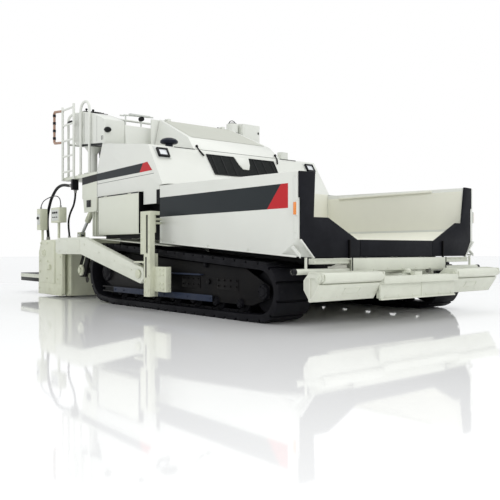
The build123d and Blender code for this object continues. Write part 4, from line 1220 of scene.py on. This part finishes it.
class PAVER_OT_engine_dressing(bpy.types.Operator):
    """Covers, pipes and the fan of the engine under the lid"""

    bl_idname = "paver.engine_dressing"
    bl_label = "Engine dressing"

    def execute(self, context):
        bm = bmesh.new()
        for x in (-0.20, 0.20):
            cube(bm, (x - 0.12, x + 0.12), (2.92, 3.62), (2.078, 2.150))
            for station in (3.00, 3.18, 3.36, 3.54):
                bolt(bm, (x, station, 2.150), UP, 0.014, 0.012)
        soften(bm, 0.012)
        intake = ((-0.38, 3.0, 2.06), (-0.38, 3.0, 2.16), (-0.38, 3.5, 2.18), (0.0, 3.62, 2.18))
        pipe(bm, intake, 0.040)
        pipe(bm, [(0.38, 3.1, 2.06), (0.38, 3.1, 2.15), (0.38, 3.62, 2.15)], 0.032)
        piece(bm, "engine_covers", "engine_grey")
        bm = bmesh.new()
        hub = Vector((0, 2.815, 1.70))
        ring(bm, hub, (0, 1, 0), 0.30, 0.012)
        rod(bm, hub - Vector((0, 0.03, 0)), hub + Vector((0, 0.02, 0)), 0.07)
        for step in range(8):
            turn = math.tau * step / 8
            along = Vector((math.cos(turn), 0, math.sin(turn)))
            side = Vector((-along.z, 0, along.x))
            root, tip = hub + along * 0.06, hub + along * 0.27
            twist = Vector((0, 0.03, 0))
            face = (
                root - side * 0.03, tip - side * 0.06, tip + side * 0.05 - twist,
                root + side * 0.03,
            )
            plate(bm, face, (0, 0.004, 0))
        piece(bm, "engine_fan", "black_paint")
        return {"FINISHED"}


class PAVER_OT_platform_trim(bpy.types.Operator):
    """Side consoles, instrument panel, seats' fittings, rails and steps"""

    bl_idname = "paver.platform_trim"
    bl_label = "Platform trim"

    def execute(self, context):
        pod_out, pod_in = HOPPER_OUT - 0.050, HOPPER_OUT - 0.370
        dark, knobs, screen = bmesh.new(), bmesh.new(), bmesh.new()
        # Black tray under the pod, horn and slots on its outer face
        tray = ((4.080, 2.228), (4.784, 2.288), (4.800, 2.316), (4.080, 2.254))
        side_plate(dark, pod_in + 0.02, tray, pod_out - pod_in - 0.016)
        ball(dark, (pod_out - 0.045, 4.010, 2.438), (0.050, 0.066, 0.040), 20, 12)
        for station in (4.06, 4.10):
            cube(dark, (pod_out, pod_out + 0.002), (station, station + 0.012), (2.30, 2.36))
        # Control panel on top, facing the seat
        panel = (
            (4.470, 2.752), (4.735, 2.813), (4.930, 2.806),
            (4.930, 2.812), (4.733, 2.820), (4.468, 2.759),
        )
        side_plate(dark, pod_in + 0.03, panel, pod_out - pod_in - 0.06)
        mirrored(dark)
        for station in (4.55, 4.62, 4.69):
            for column in range(4):
                x = pod_in + 0.07 + column * 0.05
                z = 2.774 + (station - 4.55) * 0.23
                rod(knobs, (x, station, z), (x, station, z + 0.012), 0.011, segments=14)
        for x in (pod_in + 0.09, pod_in + 0.20):
            rod(knobs, (x, 4.84, 2.812), (x, 4.84, 2.860), 0.008, segments=12)
            ball(knobs, (x, 4.84, 2.868), (0.019, 0.019, 0.019), 16, 10)
        mirrored(knobs)
        # Instrument panel across the console, towards the seats
        top, foot = Vector((0, 4.245, 2.492)), Vector((0, 4.296, 2.392))
        out = Vector((0, 0.89, 0.46)) * 0.004
        for x in (-0.40, -0.26, -0.12, 0.12, 0.26, 0.40):
            centre = top.lerp(foot, 0.5) + Vector((x, 0, 0))
            rod(knobs, centre, centre + out * 3, 0.042)
            rod(screen, centre + out * 3, centre + out * 3.4, 0.035)
        window = oblong((-0.06, 0.06), (0.1, 0.9))
        face = [top.lerp(foot, down) + Vector((x, 0, 0)) + out for x, down in window]
        plate(screen, face, out * 1.5)
        piece(dark, "console_trays", "black_paint")
        piece(knobs, "console_knobs", "knob_plastic")
        piece(screen, "console_dials", "dial_glass")

        # Seams on the pods' outer faces
        bm = bmesh.new()
        for station, z0, z1 in ((4.25, 2.30, 2.66), (4.66, 2.34, 2.77)):
            cube(bm, (pod_out, pod_out + 0.0008), (station, station + 0.005), (z0, z1))
        pair(bm, "pod_seams", "seam_grey", "dark_steel")

        # Slim visor bars and a lamp above the console's right wing
        bm = bmesh.new()
        bars = (
            ((-1.060, 4.070, 2.540), (-1.060, 4.060, 2.690)),
            ((-0.800, 4.070, 2.540), (-0.800, 4.060, 2.700)),
            ((-1.090, 4.060, 2.690), (-0.600, 4.060, 2.712)),
            ((-1.090, 4.060, 2.680), (-1.095, 4.160, 2.700)),
        )
        for start, end in bars:
            rod(bm, start, end, 0.011)
        cube(bm, (-1.00, -0.66), (4.035, 4.085), (2.700, 2.722))
        piece(bm, "visor_bars", "grey_paint")
        bm = bmesh.new()
        rod(bm, (-0.800, 4.03, 2.665), (-0.800, 4.09, 2.665), 0.034)
        piece(bm, "visor_lamp", "black_paint")

        # Seat arms, headrests and cushions
        for side, way in SIDES:
            bm = bmesh.new()
            x = way * 0.760
            # Placed in the frame at once: the second easing meets edges that turn by just
            # about its limit, so a shift after it would change which of them are eased
            rest, post = (FRONT + 4.700, FRONT + 4.985), (FRONT + 4.930, FRONT + 4.970)
            for arm in (-0.265, 0.265):
                cube(bm, (x + arm - 0.028, x + arm + 0.028), rest, (2.485, 2.520))
                cube(bm, (x + arm - 0.012, x + arm + 0.012), post, (2.280, 2.490))
            soften(bm, 0.012)
            cube(bm, (x - 0.16, x + 0.16), (FRONT + 5.105, FRONT + 5.135), (2.740, 2.800))
            soften(bm, 0.006)
            piece(bm, f"seat_arms_{side}", "knob_plastic", shift=0)
            bm = bmesh.new()
            for station in (4.60, 4.71, 4.82):
                cube(bm, (x - 0.20, x + 0.20), (station, station + 0.07), (2.286, 2.300))
            soften(bm, 0.008, 3)
            piece(bm, f"seat_cushion_{side}", "seat_vinyl")

        # Black mirror beside the ladder and the grab loop behind it
        bm = bmesh.new()
        cube(bm, (-1.485, -1.440), (4.99, 5.12), (2.655, 2.705))
        soften(bm, 0.012)
        rod(bm, (-1.462, 5.10, 2.68), (-1.478, 5.25, 2.66), 0.008)
        piece(bm, "ladder_mirror", "black_paint")
        x = -1.492
        loop = (
            (5.270, 2.885), (5.560, 2.915), (5.585, 2.895),
            (5.585, 2.445), (5.560, 2.420), (5.270, 2.395),
        )
        bm = bmesh.new()
        pipe(bm, [(x, station, z) for station, z in loop], 0.020)
        piece(bm, "grab_loop", "primer_brown")
        bm = bmesh.new()
        for z in (2.50, 2.62, 2.74, 2.86):
            rod(bm, (x, 5.585, z - 0.020), (x, 5.585, z + 0.020), 0.0245, segments=14)
        piece(bm, "grab_loop_clips", "black_paint")

        # Rail feet, the ladder's rung collars and tread strips
        bm = bmesh.new()
        for way in (-1, 1):
            for station in (4.430, 4.720):
                foot = Vector((way * (HOPPER_OUT - 0.019), station, PLATFORM_TOP))
                rod(bm, foot, foot + Vector((0, 0, 0.012)), 0.038)
        for x in (-1.41, -0.5, 0.5, 1.41):
            foot = Vector((x, 5.240, PLATFORM_TOP))
            rod(bm, foot, foot + Vector((0, 0, 0.012)), 0.038)
        x = -(HOPPER_OUT + 0.022)
        for rung in range(5):
            for station in (4.889, 5.251):
                ring(bm, (x, station, 1.930 + rung * 0.240), (0, 1, 0), 0.016, 0.004, 20)
        piece(bm, "rail_feet", "body_paint")
        bm = bmesh.new()
        for number in range(13):
            x = -1.20 + number * 0.20
            cube(bm, (x - 0.085, x + 0.085), (4.36, 5.18), (PLATFORM_TOP, PLATFORM_TOP + 0.004))
        piece(bm, "tread_plates", "tread_steel")
        return {"FINISHED"}


class PAVER_OT_tow_trim(bpy.types.Operator):
    """Bolts, glands and plates at the tow points and along the arms"""

    bl_idname = "paver.tow_trim"
    bl_label = "Tow point trim"

    def execute(self, context):
        bm = bmesh.new()
        out, rod_axis = POST_OUT, (1.670, 2.440)
        bolt_row(bm, (out, 2.285, 0.25), (out, 2.285, 1.12), 6, LEFT, 0.011, 0.009)
        bolt_row(bm, (out, 2.370, 0.22), (out, 2.370, 0.36), 2, LEFT, 0.013, 0.010)
        bolt_row(bm, (out, 2.460, 0.74), (out, 2.460, 1.10), 4, LEFT, 0.009, 0.008)
        for z in (0.275, 0.335, 0.440, 0.500):
            bolt(bm, (1.661, 2.146, z), LEFT, 0.012, 0.010)
            bolt(bm, (1.661, 2.070, z), LEFT, 0.012, 0.010)
            bolt(bm, (1.625, 2.011, z), AHEAD, 0.009, 0.007)
        # Wear strip of the slide, the pin's head and glands on the cylinder
        cube(bm, (out, out + 0.004), (2.352, 2.366), (0.70, 1.14))
        rod(bm, (out, 2.540, 0.440), (out + 0.009, 2.540, 0.440), 0.040)
        for z in (0.70, 0.94, 1.135):
            rod(bm, (*rod_axis, z - 0.012), (*rod_axis, z + 0.012), 0.0405)
        pair(bm, "tow_point_bolts", "screed_paint", "body_white")
        bm = bmesh.new()
        rod(bm, (*rod_axis, 0.596), (*rod_axis, 0.690), 0.0185)
        pair(bm, "grade_rods", "chrome_plate", "chrome")
        # Black plates that paint the shade in the tow slide's gaps
        bm = bmesh.new()
        cube(bm, (1.7095, 1.7302), (2.3115, 2.3435), (0.70, 1.149))
        cube(bm, (1.7280, 1.7302), (2.3352, 2.3648), (0.405, 0.645))
        pair(bm, "tow_point_gap_shade", "frame_black", "dark_steel")

        # Arms: bolts up the slope and the cover plates, riding on the screed
        bm = bmesh.new()
        out = ARM_OUT
        for along in (0.02, 0.34, 0.66, 0.98):
            slope = (out, 2.70 + 1.3724 * along, 0.48 + 0.33652 * along)
            bolt(bm, slope, LEFT, 0.010, 0.008)
        for station in (4.25, 4.60, 4.88):
            for z in (0.86, 0.72):
                bolt(bm, (out, station, z), LEFT, 0.012, 0.010)
        side_plate(bm, out, oblong((4.20, 4.92), (0.70, 0.88)), 0.004)
        soften(bm, 0.001)
        pair(bm, "tow_arm_bolts", "frame_paint", "body_white", body="screed")
        return {"FINISHED"}


class PAVER_OT_screed_trim(bpy.types.Operator):
    """End gates, valves, cylinders, pipes and marks of the screed"""

    bl_idname = "paver.screed_trim"
    bl_label = "Screed trim"

    def execute(self, context):
        for side, way in SIDES:
            body = f"extension_{side}"
            x = way * GATE_OUT
            facing = Vector((way, 0, 0))
            bm = bmesh.new()
            # Round inspection ring, lower shoe, upright rib and bolts along the edges
            ring(bm, (x, 5.745, 0.682), facing, 0.052, 0.010)
            side_plate(bm, x, oblong((5.05, 5.948), (0.032, 0.205)), way * 0.006)
            side_plate(bm, x, oblong((5.30, 5.42), (0.215, 0.86)), way * 0.010)
            soften(bm, 0.002)
            # station, then the heights of its bolts
            columns = (
                (5.10, (0.62, 0.35, 0.12)), (5.20, (0.84, 0.28)), (5.50, (0.12,)),
                (5.58, (0.42, 0.55)), (5.62, (0.84, 0.28)), (5.86, (0.84,)),
                (5.90, (0.55, 0.38, 0.12)),
            )
            for station, heights in columns:
                for z in heights:
                    bolt(bm, (x + way * 0.002, station, z), facing, 0.011, 0.010)
            rod(bm, (x, 5.50, 0.46), (x + way * 0.030, 5.50, 0.46), 0.045, 0.038)
            piece(bm, f"end_gate_fittings_{side}", "screed_paint", body=body)
            # Control boxes on the gate: lids and knobs
            lid_out = 1.644
            bm = bmesh.new()
            for low, high, z in ((5.080, 5.350, 1.265), (5.805, 5.915, 1.22)):
                cube(bm, both(lid_out - 0.004, lid_out, way), (low, high), (z - 0.085, z + 0.085))
            soften(bm, 0.0015)
            piece(bm, f"control_box_lids_{side}", "grey_paint", body=body)
            bm = bmesh.new()
            # knobs: (station, height), how far they stand out, radius, sides
            knobs = [((station, 1.30), 0.016, 0.014, 14) for station in (5.13, 5.20, 5.27)]
            knobs += [((station, 1.23), 0.012, 0.009, 12) for station in (5.13, 5.20, 5.27)]
            knobs += [((5.86, 1.24), 0.022, 0.022, 16)]
            for spot, stands, radius, segments in knobs:
                start, end = (way * lid_out, *spot), (way * (lid_out + stands), *spot)
                rod(bm, start, end, radius, segments=segments)
            piece(bm, f"control_box_knobs_{side}", "black_paint", body=body)
            # Extension: ribs, foot strip and bolts on its rear face
            bm = bmesh.new()
            for rib in (0.40, 0.75, 1.10, 1.40):
                cube(bm, both(rib - 0.008, rib + 0.008, way), (5.924, 5.934), (0.06, 0.325))
            cube(bm, both(0.07, 1.54, way), (5.924, 5.936), (0.032, 0.060))
            ends = (way * 0.15, 5.930, 0.29), (way * 1.45, 5.930, 0.29)
            bolt_row(bm, *ends, 8, (0, 1, 0), 0.010, 0.008)
            piece(bm, f"extension_ribs_{side}", "screed_paint", body=body)

        # Crossbeam covers, cylinders and the pipes that feed them, riding on the screed
        bm = bmesh.new()
        for across in ((-1.08, -0.50), (-0.44, 0.44), (0.50, 1.08)):
            cube(bm, across, (5.04, 5.22), (0.899, 0.912))
        soften(bm, 0.003)
        for x in (-0.40, 0.0, 0.40):
            bolt(bm, (x, 5.13, 0.912), UP, 0.012, 0.010)
        cylinder = (5.48, 0.54)
        # bars along the cylinder's axis: from, to, radius
        bars = [(0.55, 1.36, 0.045), (1.30, 1.44, 0.026)]
        bars += [(x - 0.02, x + 0.02, 0.052) for x in (0.55, 0.95, 1.34)]
        for way in (-1, 1):
            feed = ((0.45, 0.52), (0.45, 0.60), (1.42, 0.60), (1.42, 0.52))
            pipe(bm, [(way * x, 5.36, z) for x, z in feed], 0.014)
            for start, end, radius in bars:
                rod(bm, (way * start, *cylinder), (way * end, *cylinder), radius)
        piece(bm, "screed_fittings", "screed_paint", body="screed")

        # Mouldboard's edge bars with their bolts, in front of the screed
        bm = bmesh.new()
        out = 1.496
        for way in (-1, 1):
            cube(bm, both(out - 0.026, out, way), (4.965, 5.018), (0.05, 0.66))
            for z in (0.12, 0.30, 0.48, 0.62):
                bolt(bm, (way * out, 4.990, z), (way, 0, 0), 0.010, 0.009)
        piece(bm, "mouldboard_edges", "screed_paint", body="screed")

        # Outer plates of the spreading screws with hubs and their slanting struts
        bm = bmesh.new()
        for way in (-1, 1):
            x = way * 1.440
            rod(bm, (x, *SPREADER), (x + way * 0.022, *SPREADER), 0.080)
            rod(bm, (x, *SPREADER), (x + way * 0.050, *SPREADER), 0.046, 0.036)
            bolt_circle(bm, x + way * 0.022, SPREADER, 0.062, way, 0.008, 0.008)
            strut = x - way * 0.02
            rod(bm, (strut, 4.560, 0.680), (strut, 4.760, 0.345), 0.022)
        piece(bm, "spreader_hubs", "screed_paint")

        # Valves on the right-hand valve block with their pipes
        bm = bmesh.new()
        x = -1.470
        for station in (5.66, 5.73, 5.80):
            cube(bm, (x - 0.022, x + 0.022), (station - 0.024, station + 0.024), (0.619, 0.700))
            rod(bm, (x, station, 0.700), (x, station, 0.752), 0.014)
        soften(bm, 0.002)
        for route in (
            ((x, 5.66, 0.75), (x, 5.66, 0.81), (-1.44, 5.50, 0.84), (-1.30, 5.24, 0.84)),
            ((x, 5.73, 0.75), (x, 5.73, 0.84), (-1.42, 5.52, 0.87), (-1.25, 5.24, 0.87)),
        ):
            pipe(bm, route, 0.010)
        piece(bm, "valve_pipes", "worn_steel", body="screed")
        return {"FINISHED"}


class PAVER_OT_walkway_trim(bpy.types.Operator):
    """Open tread and end caps of the rear walkway"""

    bl_idname = "paver.walkway_trim"
    bl_label = "Walkway trim"

    def execute(self, context):
        bm = bmesh.new()
        for number in range(12):
            x = -1.375 + number * 0.25
            cube(bm, (x - 0.118, x + 0.118), (6.06, 7.03), (0.3295, 0.3335))
        piece(bm, "walkway_tread", "tread_steel", body="walkway")
        bm = bmesh.new()
        out = 1.486
        for way in (-1, 1):
            cube(bm, both(out - 0.0065, out, way), (6.05, 7.045), (0.262, 0.326))
            ends = (way * out, 6.15, 0.294), (way * out, 6.95, 0.294)
            bolt_row(bm, *ends, 4, (way, 0, 0), 0.010, 0.008)
        soften(bm, 0.001)
        piece(bm, "walkway_edges", "frame_paint", body="walkway")
        return {"FINISHED"}


# Cord routes: (x, station, height) points in metres
SCREED_HOSE = (
    (-1.470, 4.950, 1.712), (-1.470, 5.080, 1.712), (-1.472, 5.220, 1.736), (-1.470, 5.370, 1.742),
    (-1.474, 5.520, 1.710), (-1.470, 5.650, 1.640), (-1.474, 5.760, 1.540), (-1.470, 5.845, 1.425),
    (-1.472, 5.900, 1.300), (-1.470, 5.918, 1.170), (-1.472, 5.900, 1.060), (-1.470, 5.880, 0.970),
    (-1.470, 5.880, 0.8803),
)
HEATER_HOSE = (
    (-1.440, 4.925, 1.6397), (-1.440, 4.925, 1.560), (-1.442, 4.945, 1.480), (-1.440, 4.990, 1.405),
    (-1.442, 5.060, 1.340), (-1.440, 5.125, 1.275), (-1.442, 5.165, 1.195), (-1.440, 5.172, 1.110),
    (-1.442, 5.155, 1.035), (-1.440, 5.140, 0.968), (-1.440, 5.140, 0.9003),
)
CONTROL_CABLE = (
    (-1.600, 5.095, 1.3803), (-1.600, 5.095, 1.430), (-1.601, 5.107, 1.480), (-1.600, 5.140, 1.522),
    (-1.601, 5.195, 1.548), (-1.600, 5.265, 1.562), (-1.602, 5.350, 1.566), (-1.600, 5.450, 1.560),
    (-1.602, 5.560, 1.548), (-1.600, 5.665, 1.532), (-1.601, 5.755, 1.508), (-1.600, 5.820, 1.470),
    (-1.600, 5.860, 1.430), (-1.600, 5.860, 1.3903),
)


def cord_route(name, points):
    """Points in metres on the machine, read off a smooth curve through a cord's route."""
    curve = bpy.data.curves.new(f"{name}_line", "CURVE")
    curve.dimensions = "3D"
    curve.resolution_u = 8
    spline = curve.splines.new("NURBS")
    spline.points.add(len(points) - 1)
    for knot, (x, station, z) in zip(spline.points, points):
        knot.co = (x, FRONT + station, z, 1)
    spline.order_u = 3
    spline.use_endpoint_u = True
    holder = bpy.data.objects.new(f"{name}_line", curve)
    mesh = bpy.data.meshes.new_from_object(holder)
    route = [vertex.co.copy() for vertex in mesh.vertices]
    bpy.data.meshes.remove(mesh)
    bpy.data.objects.remove(holder)
    bpy.data.curves.remove(curve)
    return route


class PAVER_OT_cords(bpy.types.Operator):
    """Two hoses to the screed and the control box cable, with their fittings"""

    bl_idname = "paver.cords"
    bl_label = "Cords"

    def execute(self, context):
        rows = (
            # name, points, diameter, body, stiffness, node it stands for
            ("screed_hose_line", SCREED_HOSE, 0.045, None, "stiff", "screed_hose"),
            ("heater_hose_line", HEATER_HOSE, 0.030, None, "stiff", "heater_hose"),
            (
                "control_cable_line", CONTROL_CABLE, 0.014, "extension_right", "limp",
                "control_cable",
            ),
        )
        for name, points, diameter, body, stiffness, node in rows:
            route = cord_route(name, points)
            bm = bmesh.new()
            ribbon(bm, route, diameter / 2)
            made = piece(bm, name, "hose_rubber", body, (node,), shift=0)
            if body is None:
                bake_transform(made)
            length = sum((b - a).length for a, b in zip(route, route[1:]))

        # Crimped collars at the hose ends
        top, foot, gate = bmesh.new(), bmesh.new(), bmesh.new()
        ends = (
            (top, (-1.470, 4.950, 1.712), (0, 1, 0), 0.030, 0.060),
            (top, (-1.440, 4.925, 1.640), (0, 0, -1), 0.021, 0.045),
            (foot, (-1.470, 5.880, 0.880), UP, 0.030, 0.060),
            (foot, (-1.440, 5.140, 0.900), UP, 0.021, 0.045),
            (gate, (-1.600, 5.095, 1.380), UP, 0.013, 0.030),
            (gate, (-1.600, 5.860, 1.390), UP, 0.013, 0.030),
        )
        for bm, start, way, radius, length in ends:
            start, along = Vector(start), Vector(way)
            tube(bm, start, start + along * length, radius, radius * 0.78)
            tube(bm, start, start + along * length * 0.3, radius * 1.25, radius * 0.79, 6)
        piece(top, "hose_collars_top", "worn_steel")
        piece(foot, "hose_collars_foot", "worn_steel", body="screed")
        piece(gate, "cable_glands", "worn_steel", body="extension_right")
        return {"FINISHED"}


PIECE_OPERATORS = (
    PAVER_OT_finishes, PAVER_OT_cords, PAVER_OT_skins, PAVER_OT_screws, PAVER_OT_hopper_trim,
    PAVER_OT_push_trim, PAVER_OT_track_trim, PAVER_OT_fascia_trim, PAVER_OT_house_trim,
    PAVER_OT_deck_trim, PAVER_OT_engine_dressing, PAVER_OT_platform_trim, PAVER_OT_tow_trim,
    PAVER_OT_screed_trim, PAVER_OT_walkway_trim,
)


class PAVER_PT_panel(bpy.types.Panel):
    """Every step of the dressing, with the camera's settings"""

    bl_idname = "PAVER_PT_panel"
    bl_label = "Paver"
    bl_space_type = "VIEW_3D"
    bl_region_type = "UI"
    bl_category = "Paver"

    def draw(self, context):
        settings = context.scene.paver_stage
        for name in ("lens", "eye_height", "eye_side", "eye_ahead", "heading"):
            self.layout.prop(settings, name)
        for operator in (PAVER_OT_stage, *PIECE_OPERATORS):
            self.layout.operator(operator.bl_idname)


CLASSES = (PaverStage, PAVER_OT_stage, *PIECE_OPERATORS, PAVER_PT_panel)


def register():
    for cls in CLASSES:
        bpy.utils.register_class(cls)
    bpy.types.Scene.paver_stage = bpy.props.PointerProperty(type=PaverStage)


def unregister():
    del bpy.types.Scene.paver_stage
    for cls in reversed(CLASSES):
        bpy.utils.unregister_class(cls)


def main():
    register()
    bpy.ops.paver.stage()
    bpy.ops.paver.finishes()
    bpy.ops.paver.cords()
    bpy.ops.paver.skins()
    bpy.ops.paver.screws()
    bpy.ops.paver.hopper_trim()
    bpy.ops.paver.push_trim()
    bpy.ops.paver.track_trim()
    bpy.ops.paver.fascia_trim()
    bpy.ops.paver.house_trim()
    bpy.ops.paver.deck_trim()
    bpy.ops.paver.engine_dressing()
    bpy.ops.paver.platform_trim()
    bpy.ops.paver.tow_trim()
    bpy.ops.paver.screed_trim()
    bpy.ops.paver.walkway_trim()


if __name__ == "__main__":
    main()
